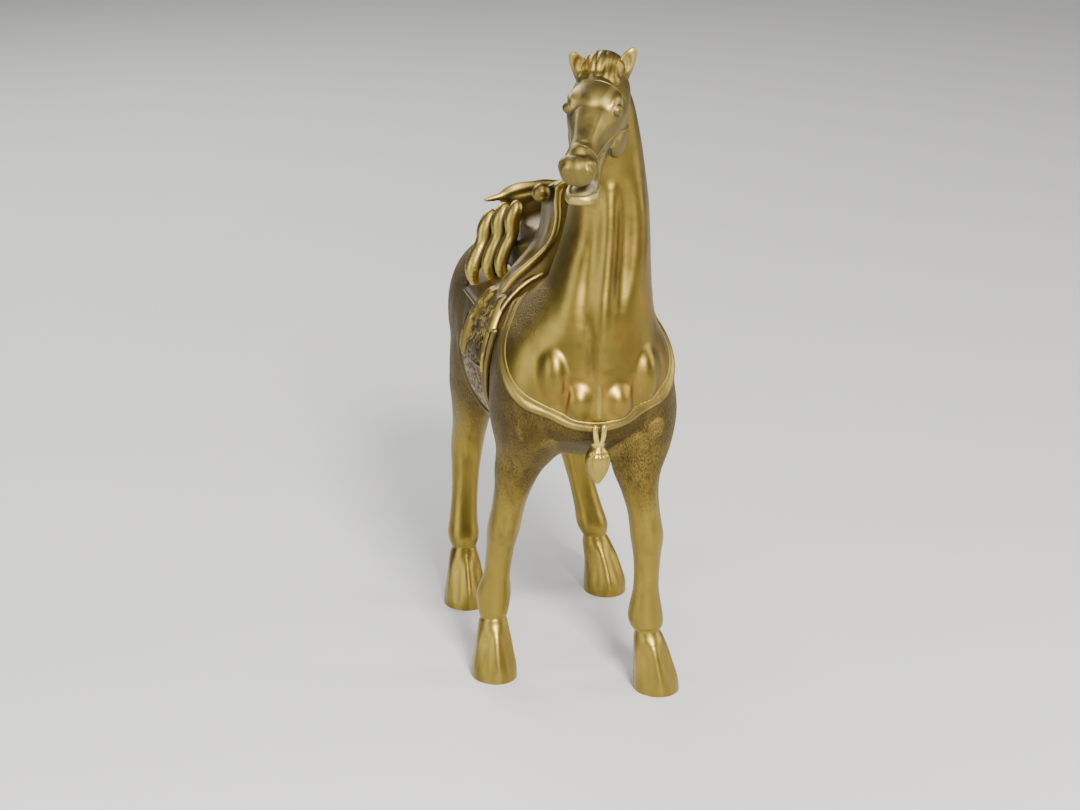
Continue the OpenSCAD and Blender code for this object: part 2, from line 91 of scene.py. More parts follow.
def curve(rows, steps=5):
    """Catmull-Rom rows through the given rows."""
    rows = np.array(rows, float)
    padded = np.vstack([rows[:1], rows, rows[-1:]])
    out = []
    for i in range(len(rows) - 1):
        a, b, c, d = padded[i:i + 4]
        for k in np.arange(steps) / steps:
            out.append(0.5 * (2 * b + (c - a) * k + (2 * a - 5 * b + 4 * c - d) * k ** 2
                              + (3 * b - a - 3 * c + d) * k ** 3))
    return np.array(out + [rows[-1]])


def from_segment(point, a, b):
    """Squared distance from a straight segment, and the share of its length where it is nearest."""
    ab = b - a
    t = np.clip(sum((q - start) * d for q, start, d in zip(point, a, ab)) / (ab @ ab), 0, 1)
    return sum((q - start - t * d) ** 2 for q, start, d in zip(point, a, ab)), t


class Place:
    """A local frame: an origin and three unit axes, in clay coordinates."""

    def __init__(self, origin, axes):
        self.origin = np.array(origin, float)
        self.axes = np.array(axes, float)

    def local(self, x, y, z):
        ox, oy, oz = self.origin
        return [(x - ox) * a[0] + (y - oy) * a[1] + (z - oz) * a[2] for a in self.axes]

    def at(self, *p):
        return tuple(self.origin + np.array(p, float) @ self.axes)


class Shape:
    """A distance function and the box that it is worked within."""

    def __init__(self, lo, hi, distance):
        self.lo, self.hi, self.distance = np.array(lo, float), np.array(hi, float), distance


def ball(centre, radii, place=None):
    """An ellipsoid. With a place, its centre and radii are along the place's axes."""
    radii = np.array(radii, float)
    world = np.array(centre if place is None else place.at(*centre), float)
    reach = radii if place is None else np.full(3, radii.max())

    def distance(x, y, z):
        if place is None:
            p = [x - world[0], y - world[1], z - world[2]]
        else:
            p = [q - c for q, c in zip(place.local(x, y, z), centre)]
        k0 = np.sqrt(sum((q / r) ** 2 for q, r in zip(p, radii)))
        k1 = np.sqrt(sum((q / r ** 2) ** 2 for q, r in zip(p, radii))) + TINY
        return k0 * (k0 - 1) / k1

    return Shape(world - reach, world + reach, distance)


def rod(points, radii):
    """A chain of round cones through the points."""
    points = np.array(points, float)
    radii = np.full(len(points), radii, float) if np.isscalar(radii) else np.array(radii, float)

    def distance(x, y, z):
        best = np.inf
        for a, b, ra, rb in zip(points, points[1:], radii, radii[1:]):
            gap, t = from_segment((x, y, z), a, b)
            best = np.minimum(best, np.sqrt(gap) - (ra + (rb - ra) * t))
        return best

    reach = radii.max()
    return Shape(points.min(0) - reach, points.max(0) + reach, distance)


def bent_rod(rows, steps=4):
    """A smooth rod. Each row is [x, y, z, radius]."""
    rows = curve(rows, steps)
    return rod(rows[:, :3], rows[:, 3])


def tube(rows, order=(0, 1, 2), place=None):
    """A body with an oval section. Each row is [along, across, up, half width, reach up, reach down].
    The order names the clay axes that run across, up and along it."""
    table = curve(rows, 12)
    along = table[:, 0]

    def distance(x, y, z):
        p = [x, y, z] if place is None else place.local(x, y, z)
        u, v, s = (p[i] for i in order)
        cu, cv, a, up, down = (np.interp(s, along, table[:, i]) for i in range(1, 6))
        u, v = u - cu, v - cv
        b = np.where(v > 0, up, down)
        k0 = np.sqrt((u / a) ** 2 + (v / b) ** 2)
        k1 = np.sqrt((u / a ** 2) ** 2 + (v / b ** 2) ** 2) + TINY
        return np.maximum(k0 * (k0 - 1) / k1, np.maximum(along[0] - s, s - along[-1]))

    middle = np.stack([table[:, 1], table[:, 2], along], 1)
    half = np.stack([table[:, 3], table[:, 4:].max(1), 0 * along], 1)
    corners = np.vstack([middle - half, middle + half])
    corners[:, list(order)] = corners.copy()
    if place is not None:
        extra = np.vstack([corners + [table[:, 3].max() * k, 0, 0] for k in (-1, 1)])
        corners = np.array([place.at(*c) for c in extra])
    return Shape(corners.min(0), corners.max(0), distance)


class Clay:
    """A block of space with the distance to a skin at each grid point, in millimetres."""

    def __init__(self, lo, hi, step, reach=1.0):
        self.step = step * 1.0
        self.reach = reach
        self.lo = np.array(lo, float)
        count = np.ceil((np.array(hi, float) - self.lo) / self.step).astype(int) + 1
        self.axes = [(self.lo[i] + self.step * np.arange(count[i])).astype(np.float32) for i in range(3)]
        self.d = np.full(count, FAR, np.float32)

    def near(self, lo, hi, reach):
        """The part of the block within reach of a box: its slices and its x, y and z, or None."""
        cut = tuple(
            slice(np.searchsorted(a, start - reach), np.searchsorted(a, end + reach))
            for a, start, end in zip(self.axes, lo, hi))
        x, y, z = (a[c] for a, c in zip(self.axes, cut))
        if min(len(x), len(y), len(z)) == 0:
            return None
        return cut, x[:, None, None], y[None, :, None], z[None, None, :]

    def add(self, shape, soft=0.5, sign=1):
        found = self.near(shape.lo, shape.hi, soft + self.reach)
        if found:
            cut, x, y, z = found
            self.d[cut] = sign * blend(sign * self.d[cut], shape.distance(x, y, z), soft)

    def carve(self, shape, soft=0.5):
        self.add(shape, soft, -1)

    def settle(self, points):
        """Moves points onto the skin, by no more than SETTLE."""
        start = np.array(points, float)
        p = start.copy()
        for _ in range(6):
            g = self.slope(p)
            p -= (self.sample(p) / ((g ** 2).sum(1) + EASE))[:, None] * g
            shift = p - start
            size = np.linalg.norm(shift, axis=1)[:, None] + TINY
            p = start + shift * np.minimum(1, SETTLE / size)
        return p

    def stroke(self, points, width, height, steps=4, taper=0.35):
        """Raises the skin along a line near it, or sinks it where the height is below zero.
        The stroke fades out over the given share of its length at both ends."""
        line = curve(points, steps)
        if not self.near(line.min(0), line.max(0), BRUSH * width + SETTLE):
            return
        line = self.settle(line)
        found = self.near(line.min(0), line.max(0), BRUSH * width)
        if not found:
            return
        cut, x, y, z = found
        run = np.r_[0, np.cumsum(np.linalg.norm(np.diff(line, axis=0), axis=1))]
        run /= run[-1]
        force = np.minimum(run, 1 - run) / taper if taper else np.ones(len(run))
        force = np.minimum(force, 1) ** 0.7
        lift = np.zeros(np.broadcast(x, y, z).shape, np.float32)
        for a, b, fa, fb in zip(line, line[1:], force, force[1:]):
            gap, t = from_segment((x, y, z), a, b)
            lift = np.maximum(lift, (fa + (fb - fa) * t) * np.exp(-gap / width ** 2))
        self.d[cut] -= height * lift

    def sample(self, p):
        """The distance at any points, linear between the grid's."""
        q = (p - self.lo) / self.step
        i = np.clip(np.floor(q).astype(int), 0, np.array(self.d.shape) - 2)
        f = np.clip(q - i, 0, 1)
        total = 0
        for corner in np.ndindex(2, 2, 2):
            share = np.abs(1 - np.array(corner) - f).prod(1)
            total = total + share * self.d[tuple((i + corner).T)]
        return total

    def slope(self, p):
        h = self.step
        return np.stack([(self.sample(p + e) - self.sample(p - e)) / (2 * h) for e in np.eye(3) * h], 1)

    def skin(self):
        """The zero surface as points and quads, with each point moved onto it."""
        grid = openvdb.FloatGrid(FAR)
        grid.copyFromArray(self.d)
        points, quads = grid.convertToQuads(isovalue=0.0)
        points = points.astype(float) * self.step + self.lo
        for _ in range(2):
            g = self.slope(points)
            move = -(self.sample(points) / ((g ** 2).sum(1) + EASE))[:, None] * g
            most = 0.4 * self.step
            points += np.clip(move, -most, most)
        return points, quads


# ---- pieces ----

def to_row(points):
    return np.array(points, float) * MM + np.array(HOME)


def show(obj):
    bpy.context.scene.collection.objects.link(obj)
    return obj


WELD = 1e-7   # metres


def cut_mesh(mesh, planes):
    """Cuts a mesh at planes (point, normal), keeps the side that the normal points away from, caps it."""
    bm = bmesh.new()
    bm.from_mesh(mesh)
    for point, normal in planes:
        geom = bm.verts[:] + bm.edges[:] + bm.faces[:]
        cut = bmesh.ops.bisect_plane(
            bm, geom=geom, dist=WELD, plane_co=Vector(point) * MM + HOME, plane_no=normal,
            clear_outer=True)
        rim = [e for e in cut["geom_cut"] if isinstance(e, bmesh.types.BMEdge)]
        made = bmesh.ops.triangle_fill(bm, edges=rim, use_beauty=False)
        for g in made["geom"]:
            if isinstance(g, bmesh.types.BMFace):
                g.smooth = False
        for e in rim:
            e.smooth = False
    bmesh.ops.remove_doubles(bm, verts=bm.verts, dist=WELD)
    bmesh.ops.recalc_face_normals(bm, faces=bm.faces)
    bm.to_mesh(mesh)
    bm.free()


SPECK = 0.02   # the share of the largest shell's points below which a shell is left out


def drop_specks(points, quads):
    """Leaves out any shell much smaller than the largest."""
    parent = np.arange(len(points))
    for _ in range(200):
        low = parent[quads].min(1)
        new = parent.copy()
        for k in range(4):
            np.minimum.at(new, quads[:, k], low)
        new = new[new]
        if (new == parent).all():
            break
        parent = new
    _, where, count = np.unique(parent, return_inverse=True, return_counts=True)
    good = count[where] > SPECK * count.max()
    index = np.cumsum(good) - 1
    return points[good], index[quads[good[quads[:, 0]]]]


def piece(node, clay, material, planes=(), marks=None, feel=(0.7, 1.6), kind="casting"):
    """Takes the skin off the clay, stores its marks for the material, and puts it on the frame in
    place of a CAD node. Ridges and hollows are felt for at the given distances from the skin."""
    name = node + "_" + kind
    points, quads = drop_specks(*clay.skin())
    mesh = bpy.data.meshes.new(name)
    mesh.from_pydata(to_row(points), [], quads.astype(int).tolist())
    mesh.polygons.foreach_set("use_smooth", [True] * len(mesh.polygons))
    if planes:
        cut_mesh(mesh, planes)
    co = np.empty(len(mesh.vertices) * 3)
    mesh.vertices.foreach_get("co", co)
    p = (co.reshape(-1, 3) - np.array(HOME)) / MM
    n = clay.slope(p)
    n /= np.linalg.norm(n, axis=1)[:, None] + TINY
    values = {
        "ridge": sum(np.clip((clay.sample(p - n * r) + r) / r, 0, 1) for r in feel),
        "hollow": sum(np.clip((r - clay.sample(p + n * r)) / r, 0, 1) for r in feel)
    }
    values.update({k: f(*p.T) for k, f in (marks or {}).items()})
    for key, v in values.items():
        layer = mesh.attributes.new(key, "FLOAT", "POINT")
        layer.data.foreach_set("value", np.broadcast_to(np.asarray(v, np.float32), len(p)).copy())
    mesh.materials.append(material)
    obj = show(bpy.data.objects.new(name, mesh))
    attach(obj, "root")
    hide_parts(node)


THIN = (0.3, 0.6)   # how far a thin sheet is felt for ridges and hollows, mm


def fade(value, start, end):
    """0 before start, 1 after end, smooth between."""
    t = np.clip((value - start) / (end - start), 0, 1)
    return t * t * (3 - 2 * t)


# ---- the body: torso, neck and legs are one flowing form, cast in sections ----

# Rows of an upright form are Z, middle X, middle Y, half width, reach to the rear, reach to the front.
# Rows of a form that lies along the horse are Y, middle X, middle Z, half width, reach up, reach down.

# Along Y
BARREL = [
    [-55, 0, 98, 4.5, 4.8, 5.2], [-54.2, 0, 98.6, 8.5, 9, 10], [-51.6, 0, 100, 14.5, 16, 17.5],
    [-45, 0, 101.5, 21, 23, 24], [-38, 0, 101, 23.7, 26, 26.5], [-28, 0, 100.2, 25.3, 27, 27.7],
    [-15, 0, 99, 26.1, 27, 27.4], [0, 0, 98, 26.3, 26.6, 26.9], [15, 0, 98.3, 26.3, 26.4, 26.8],
    [25, 0, 99.5, 26.2, 25.8, 26], [35, 0, 101, 26, 24.8, 24.8], [45, 0, 102.3, 23.8, 22, 22],
    [52, 0, 103.6, 19.5, 17.6, 18], [57, 0, 104.4, 14.6, 12.6, 12.8], [61, 0, 103.6, 9.4, 8, 8],
    [63.2, 0, 103, 4, 3.6, 3.6]
]
# Along Z, like the legs
NECK = [
    [84, 0, -42, 14, 8, 12], [90, 0, -42, 18, 12, 15], [100, 0.3, -42, 20.2, 18, 15.4],
    [108, 0.8, -41, 20.2, 20, 15.6], [116, 1.6, -40, 18.8, 20, 15.6], [124, 3.2, -39, 16.6, 18.5, 15.4],
    [132, 5, -38, 14.8, 16, 14.6], [145, 7, -37, 12.6, 13.8, 13.2], [160, 7, -37, 11, 11.8, 11.2],
    [173, 6, -38.5, 9.8, 10.5, 9.8], [183, 5, -40.5, 8.2, 8.6, 8.3], [190, 4.6, -41.5, 5.4, 5.6, 5.6]
]
LEG_FL = [
    [-2, 21.5, -42.4, 7.1, 8.7, 9.5], [0, 21.4, -42.4, 7, 8.6, 9.4], [4, 21, -42.5, 6.6, 8.1, 8.7],
    [10, 20.1, -42.7, 5.6, 6.6, 6.9], [15.4, 19.3, -42.6, 4.8, 5.5, 5.4], [18.6, 18.7, -42.2, 4.15, 4.7, 4.5],
    [20.4, 18.5, -42, 4.9, 5.3, 5], [23, 18.2, -41.8, 5.35, 5.8, 5.3], [26.6, 18.1, -41.9, 4.9, 5.2, 5],
    [33, 18.1, -42.4, 3.9, 4.2, 4.1], [42, 18.2, -43, 4.1, 4.4, 4.4], [49.5, 18, -43.4, 5, 5.2, 5.5],
    [57, 17, -43.4, 4.9, 5.6, 5.5], [64, 15.8, -43, 5.7, 6.9, 6.3], [70, 15.2, -42, 7.3, 8.8, 7.6],
    [78, 16.2, -39, 9.6, 12, 10], [88, 16.4, -35, 11.2, 14, 12], [97, 15.3, -31, 10.4, 12, 10]
]
LEG_FR = [
    [-2, -24.8, -22.2, 7.1, 8.7, 9.5], [0, -24.8, -22.2, 7, 8.6, 9.4], [4, -24.9, -22.4, 6.6, 8.1, 8.7],
    [10, -25, -22.5, 5.6, 6.6, 6.9], [15.4, -24.9, -22.1, 4.8, 5.5, 5.3], [18.8, -24.8, -21.5, 4.3, 4.8, 4.6],
    [22.6, -24.6, -21, 4.9, 5.5, 5.1], [27, -24.5, -21.3, 5.2, 5.4, 5], [33, -24, -23, 4.1, 4.4, 4.1],
    [42, -23.4, -25.6, 4.2, 4.5, 4.4], [49.5, -22.7, -27.6, 5, 5.3, 5.5], [57, -21.6, -29.6, 5, 5.7, 5.5],
    [64, -20.3, -31.6, 5.8, 7, 6.3], [70, -19, -33, 7.3, 8.8, 7.6], [78, -16, -33.5, 9.6, 12, 10],
    [88, -15.2, -33, 11.2, 14, 12], [97, -14, -31, 10.4, 12, 10]
]
LEG_HL = [
    [-2, 25.3, 43.6, 6.8, 8.1, 8.9], [0, 25.25, 43.6, 6.75, 8, 8.8], [4, 25.1, 43.6, 6.5, 7.7, 8.2],
    [10, 24.3, 44.2, 5.5, 6.4, 6.5], [15.4, 23.1, 45.1, 4.7, 5.2, 5.1], [18.6, 22.4, 45.6, 4.1, 4.6, 4.4],
    [22.4, 21.6, 46.1, 5, 5.6, 5.1], [28, 20.4, 47, 4.5, 4.9, 4.6], [36, 18.6, 48.4, 4.2, 4.5, 4.4],
    [44.5, 16.9, 50, 4.6, 5.6, 5.2], [51, 16, 50.8, 5.2, 6.4, 6], [59, 15.2, 48.4, 5.7, 7.1, 7.4],
    [67, 14.9, 44, 6.9, 9.2, 9.4], [76, 14.9, 39.5, 8.9, 12.5, 12.5], [87, 14, 36.5, 10, 14.5, 14.5],
    [97, 12, 34, 8, 12, 12]
]
LEG_HR = [
    [-2, -21.6, 41.2, 6.9, 8.1, 8.9], [0, -21.6, 41.2, 6.8, 8, 8.8], [4, -21.6, 41.3, 6.5, 7.7, 8.2],
    [10, -21.6, 41.8, 5.5, 6.4, 6.5], [15.4, -21.6, 42.8, 4.7, 5.2, 5.1], [18.6, -21.5, 43.3, 4.1, 4.6, 4.4],
    [22.4, -21.5, 43.9, 5, 5.6, 5.1], [28, -21.2, 45, 4.5, 4.9, 4.6], [36, -20.5, 46.6, 4.2, 4.5, 4.4],
    [44.5, -19.7, 48.6, 4.6, 5.6, 5.2], [51, -19, 49.6, 5.2, 6.4, 6], [59, -18.3, 47.6, 5.7, 7.1, 7.4],
    [67, -18, 43.8, 6.9, 9.2, 9.4], [76, -17.4, 39.5, 8.9, 12.5, 12.5], [87, -15.6, 36.5, 10, 14.5, 14.5],
    [97, -12.5, 34, 8, 12, 12]
]


LEGS = {
    "leg_front_left": LEG_FL, "leg_front_right": LEG_FR, "leg_hind_left": LEG_HL, "leg_hind_right": LEG_HR
}


def model_leg(clay, rows, front):
    """Knee or hock, tendons, coronet and the facets of the hoof on one leg."""
    table = np.array(rows)

    def on(z, angle, off=0.0):
        """A point on the leg, at an angle from its front."""
        x, y, half, rear, fore = (np.interp(z, table[:, 0], column) for column in table[:, 1:].T)
        t = math.radians(angle)
        reach = rear if math.cos(t) < 0 else fore
        return (x + (half + off) * math.sin(t), y - (reach + off) * math.cos(t), z)

    def line(angle, heights, width, height, taper=0.35):
        clay.stroke([on(z, angle) for z in heights], width, height, taper=taper)

    coronet = 18.7 if front else 18.4
    ring = [on(coronet + 0.8 * math.cos(math.radians(a)), a) for a in range(0, 361, 30)]
    clay.stroke(ring, 0.6, -0.3, taper=0)
    line(180, (24, 32, 42), 1.8, 0.7)
    for side in (-1, 1):
        line(125 * side, (26, 34, 44), 1.2, -0.45)
        line(150 * side, (1.5, 6, 11), 1.4, -0.5)
    if front:
        line(0, (45, 50, 55), 3, 0.5)
        clay.stroke([on(44.5, a) for a in (-70, 0, 70)], 1.4, -0.25)
        line(20, (58, 64, 70), 2, 0.5)
        line(-38, (57, 64, 72), 1.4, -0.5)
        line(60, (57, 64, 72), 1.4, -0.5)
    else:
        clay.add(ball(on(51, 180, -2.2), (2.6, 3, 4)), 2.5)
        line(140, (55, 61, 68), 1.6, -0.7)
        line(-140, (55, 61, 68), 1.6, -0.7)
        line(0, (56, 62, 70), 2.4, 0.6)
    line(0, (1, 6, 11, 16), 1.3, 0.6, taper=0.2)
    for side in (-1, 1):
        line(38 * side, (1, 6, 11, 15), 1.5, -0.45, taper=0.2)
        line(70 * side, (1, 6, 11, 15), 1.2, 0.4, taper=0.2)


def model_body(clay):
    """Everything of the bare horse but its head."""
    clay.add(tube(BARREL, order=(0, 2, 1)), 0)
    clay.add(ball((0, 41, 104.4), (22.5, 18, 20.6)), 4)
    clay.add(tube(NECK, order=(0, 1, 2)), 5)
    for side in (-1, 1):
        clay.add(ball((side * 15, 37, 97), (11.4, 18, 22)), 4)
        clay.add(ball((side * 17, -35, 93), (10.6, 15.5, 21)), 4)
    for rows in LEGS.values():
        clay.add(tube(rows), 4)
    for node, rows in LEGS.items():
        model_leg(clay, rows, node.startswith("leg_front"))
    # the chest: two round muscles on either side of a seam, two longer ones outside them
    clay.add(ball((-12, -49.2, 103), (5.2, 6.8, 10)), 1.2)
    clay.add(ball((14.4, -48.4, 102), (5.4, 6.8, 10)), 1.2)
    clay.add(ball((0, -49.6, 97.5), (10.5, 7.9, 12)), 2)
    clay.add(ball((-5.4, -52.6, 96.6), (5.2, 6.5, 6.6)), 1.3)
    clay.add(ball((5.6, -52.8, 96.2), (5.3, 6.5, 6.7)), 1.3)
    clay.stroke([(0, -57.6, 102), (-0.1, -58.4, 96), (-0.2, -59, 89)], 0.6, 0.35)
    clay.stroke([(-9.6, -56, 105), (-9.8, -56.4, 99), (-10.8, -55.6, 92)], 0.8, -0.5)
    clay.stroke([(11.2, -55.4, 104), (11.2, -55.8, 98), (12, -55.2, 92)], 0.8, -0.5)
    # the neck: windpipe ridge, the groove beside it, and the muscle behind each
    clay.stroke([(5, -48.3, 160), (4.6, -49.4, 147), (3.4, -51.6, 135), (2.3, -53.4, 126),
                 (1.5, -55.2, 117), (0.9, -56.6, 108)], 2.3, 1.7, taper=0.2)
    clay.stroke([(9.4, -48.4, 160), (9.4, -49.8, 148), (8.2, -51.8, 135), (6.4, -53.8, 122)], 2.2, -1.9)
    clay.stroke([(14, -46.8, 166), (15, -47.6, 151), (14.4, -49, 139), (12, -51.4, 125)], 3.4, 1.1)
    clay.stroke([(0.2, -47.4, 154), (-1, -49.2, 142), (-2.6, -51.2, 131), (-4.2, -53.4, 118)], 2, -0.6)
    clay.stroke([(-5, -45.6, 148), (-6.4, -47.4, 136), (-8.2, -49.8, 126), (-10.2, -52, 116)], 3.6, 0.5)
    clay.stroke([(17.5, -40, 150), (18.4, -41, 138), (17.8, -42.5, 126)], 2.4, -0.6)
    # ribs, flank and shoulder blades
    creases = [([(24.6, y - 2, 108), (26.6, y, 97), (24, y + 2, 84)], 1.8, -0.28) for y in (6, 14, 22, 30)]
    creases += [([(18, -8, 118), (26, -17, 100), (25.5, -24, 84)], 2.6, -0.9),
                ([(22, 22, 112), (26, 22, 96), (23, 20, 80)], 2.6, -0.7),
                ([(9, 58, 108), (15, 54, 96), (16, 50, 80)], 2, -0.5)]
    for side in (-1, 1):
        for points, width, height in creases:
            clay.stroke([(side * x, y, z) for x, y, z in points], width, height)
    # a curl of hair chased into each breast
    for x, y, z, tilt in ((-19.2, -45.2, 86.8, -0.55), (18.8, -48.2, 84.6, 0.5)):
        spiral = []
        for k in range(19):
            t, r = 0.75 * k, 3.1 * (1 - k / 22)
            spiral.append((x + r * math.cos(t), y + tilt * -r * math.cos(t) - 0.2, z + r * math.sin(t)))
        clay.stroke(spiral, 0.5, 1, 2, taper=0.1)


def body_clay(lo, hi, step, reach=1.0):
    clay = Clay(lo, hi, step, reach)
    model_body(clay)
    return clay


# The plane of the breast collar, where the neck casting ends, and the top of the leg castings
COLLAR_POINT = np.array((0.0, -41, 104.5))
COLLAR_TILT = math.radians(46)
COLLAR_NORMAL = np.array((0.0, -math.cos(COLLAR_TILT), math.sin(COLLAR_TILT)))
LEG_TOP = 70


def past_collar(y, z):
    """How far a point lies in front of the collar's plane."""
    return (y - COLLAR_POINT[1]) * COLLAR_NORMAL[1] + (z - COLLAR_POINT[2]) * COLLAR_NORMAL[2]


def speckled_hair(x, y, z):
    """Where the bronze is dark and chased with hair: outside the collar, and down to the knees."""
    torso = 1 - fade(past_collar(y, z), -1.5, 0.5)
    low = fade(z, 50, 74)
    beside_saddle = fade(-x, 8, 15) * fade(y, -50, -40) * fade(z, 108, 118) * (1 - fade(z, 138, 150))
    return np.clip(torso * low + beside_saddle, 0, 1)


def orange(x, y, z):
    """Where the old lacquer is left, in the grooves of the neck and on the breast muscles."""
    neck = fade(past_collar(y, z), 0, 6) * (1 - fade(z, 150, 172))
    return neck * (0.4 + 0.6 * np.maximum(fade(x, 2, 7), 1 - fade(z, 98, 110)))


def golden(x, y, z):
    """How much the bronze is rubbed golden: the legs, and the neck above the collar."""
    return np.maximum(1 - fade(z, 56, 88), 0.5 * fade(past_collar(y, z), 0, 2))


# ---- the head ----

HEAD = Place((4.6, -41, 186.5), ((0.918, -0.397, 0), (-0.146, -0.337, 0.93), (-0.369, -0.853, -0.367)))
# Along the face, across, up, half width, reach up, reach down, in the head's own frame
SKULL = [
    [-8, 0, -1, 3, 3, 4], [-4, 0, 0, 6.2, 6.5, 7.5], [0, 0, 0, 7.8, 8.2, 9], [7, 0, 0, 8.6, 9, 11],
    [14, 0, 0, 8.4, 8.8, 10.5], [21, 0, 0, 6.9, 7.6, 8.4], [28, 0, 0, 5.2, 6.3, 5.6],
    [34, 0, 0, 4.7, 5.6, 4], [40, 0, 0, 4.9, 5.4, 3.4], [43.6, 0, 0, 4.7, 4.9, 2.9],
    [45, 0, 0, 3.9, 4, 2.4], [45.8, 0, 0, 2.6, 2.8, 1.6], [46.2, 0, 0, 0.8, 0.9, 0.6]
]
JAW = [
    [14, 0, -8.5, 5, 5, 4], [22, 0, -8.2, 4.3, 4, 3.6], [28, 0, -8.6, 3.9, 3, 3],
    [34, 0, -9.3, 4.4, 2.1, 2.7], [38, 0, -9.7, 5, 2, 3.2], [41, 0, -9.7, 4.7, 1.9, 3],
    [42.8, 0, -9.5, 3.6, 1.5, 2.2], [43.6, 0, -9.4, 2.2, 0.9, 1.1]
]


def face(points):
    return [HEAD.at(*p) for p in points]


def model_head(clay):
    clay.add(tube(SKULL, place=HEAD), 0)
    clay.add(tube(JAW, place=HEAD), 0.6)
    clay.add(ball((0, 7.2, 12), (4.5, 2.6, 7), HEAD), 2)
    clay.add(ball((0, -0.2, 44.4), (3.8, 2.6, 1.4), HEAD), 1)
    for side in (-1, 1):
        model_half_face(clay, side)
    clay.stroke(face([(0, 6.4, 22), (0, 5.9, 28), (0, 5.7, 33)]), 1.6, -0.25)
    roll = [(-2.4, 5.4, 37.6), (0, 5.8, 37.9), (2.4, 5.4, 37.6)]
    clay.stroke(face(roll), 1.5, 0.8, taper=0.3)
    clay.stroke(face([(u, w + 0.2, s - 3) for u, w, s in roll]), 0.8, -0.35)
    clay.stroke(face([(u, w - 0.2, s + 2.8) for u, w, s in roll]), 0.8, -0.4)
    clay.stroke(face([(0, 1.6, 47.4), (0, -0.6, 47.4), (0, -2.2, 46.4)]), 0.5, -0.25)
    # the open mouth, the tongue in it and the rim of the lower lip
    clay.carve(ball((0, -5.7, 41), (3.9, 1.9, 9), HEAD), 0.5)
    clay.carve(ball((0, -7.9, 39), (3.7, 1.5, 3.8), HEAD), 0.4)
    clay.add(ball((0, -8.5, 38.6), (3.1, 1.7, 3.8), HEAD), 0.5)
    lip = [(-4.3, -8, 33.5), (-4.6, -7.8, 38), (-3.6, -7.8, 41.4), (0, -8, 42.9), (3.6, -7.8, 41.4),
           (4.6, -7.8, 38), (4.3, -8, 33.5)]
    clay.stroke(face(lip), 0.7, 0.35)


def model_half_face(clay, side):
    """The cheek, eye and nostril of one side."""
    def lump(centre, radii):
        return ball((side * centre[0],) + centre[1:], radii, HEAD)

    def line(points, width, height):
        clay.stroke(face([(side * u, w, s) for u, w, s in points]), width, height)

    clay.add(lump((5.4, -7, 12.4), (3.1, 6.6, 7.8)), 0.7)
    clay.add(lump((5.6, 5.8, 14.6), (2.2, 1.8, 3.8)), 2.5)
    clay.add(lump((3, 2, 43), (2.2, 2.7, 2.9)), 1.2)
    # the eye in its socket, and the lid over it
    clay.carve(lump((8.7, 4.5, 17), (1.6, 2.3, 3)), 1)
    clay.add(lump((6.8, 4.6, 17), (2, 1.8, 2.2)), 0.05)
    line([(7, 7.2, 13.8), (6.7, 7.9, 16.6), (5.9, 7.2, 19.4)], 0.6, 0.3)
    # the hollows of the cheek and the edge of the nose bone
    line([(6.9, 0.4, 21), (5.6, 1, 27), (5, 1.6, 33)], 2, -0.7)
    line([(8, -3.5, 15), (6.7, -3.2, 21), (5.4, -2.6, 28)], 1.2, -0.7)
    line([(3.4, 6.8, 20), (2.8, 5.6, 28), (2.4, 5.3, 33)], 1.1, 0.35)
    # the nostril and the corner of the mouth
    clay.add(lump((3.6, 2.3, 41.9), (1.8, 2.2, 2.3)), 1.2)
    line([(3.5, 3.7, 43.8), (4.2, 2.7, 44), (4.2, 1.5, 43.8)], 0.7, -1)
    line([(5.2, -0.6, 41), (4.8, -2, 36), (4.2, -3.4, 31)], 0.9, -0.4)


# Along Z, and then the middle of the hollow
EAR_RIGHT = [
    [186, -0.2, -41.3, 2.6, 2, 1.6], [188.5, -0.7, -41.4, 2.8, 2.2, 1.7],
    [191.6, -1.9, -41.8, 2.9, 2, 1.5], [194.6, -3.3, -42.5, 2.6, 1.6, 1.2],
    [196.9, -4.5, -43.1, 1.8, 1.1, 0.9], [198.1, -5.1, -43.4, 0.7, 0.5, 0.5]
], (-3.2, -44.3, 194)
EAR_LEFT = [
    [185.5, 6.7, -43.6, 2.7, 2, 1.6], [188, 7.5, -44, 2.9, 2.2, 1.7], [192, 9.1, -44.4, 3, 2, 1.5],
    [195.2, 10.4, -44.8, 2.7, 1.6, 1.2], [197.8, 11.5, -45.1, 1.8, 1.1, 0.9],
    [199, 12, -45.2, 0.7, 0.5, 0.5]
], (10.2, -46.6, 194.8)
# Locks of the forelock, from between the ears down to the brow
LOCKS = [
    [(3.4, 9, -3), (4.2, 9.4, 2), (4.9, 8.6, 8.4)], [(1.8, 10, -3), (2.2, 10.6, 3), (2.6, 9.8, 10)],
    [(0.1, 10.2, -3), (0, 11, 3.6), (-0.2, 10, 10.8)], [(-1.6, 10, -3), (-2.1, 10.6, 3), (-2.8, 9.6, 10)],
    [(-3.2, 9, -3), (-4.1, 9.4, 2), (-5, 8.4, 8)]
]


def ear_clay(rows, hollow):
    table = np.array(rows)
    x, y, half = table[:, 1], table[:, 2], table[:, 3]
    lo = (x - half).min() - 1, y.min() - 3.5, table[0, 0] - 1
    hi = (x + half).max() + 1, y.max() + 3.5, table[-1, 0] + 0.6
    clay = Clay(lo, hi, 0.16)
    clay.add(tube(rows), 0)
    clay.carve(ball(hollow, (1.75, 1.5, 3.2)), 0.5)
    x, y, z = hollow
    clay.stroke([(x, y + 1.2, z - 2.2), (x, y + 1.4, z + 1.6)], 0.5, 0.3)
    return clay


def head_clay():
    clay = Clay((-19, -84, 161), (15, -31, 198), 0.24)
    model_head(clay)
    return clay


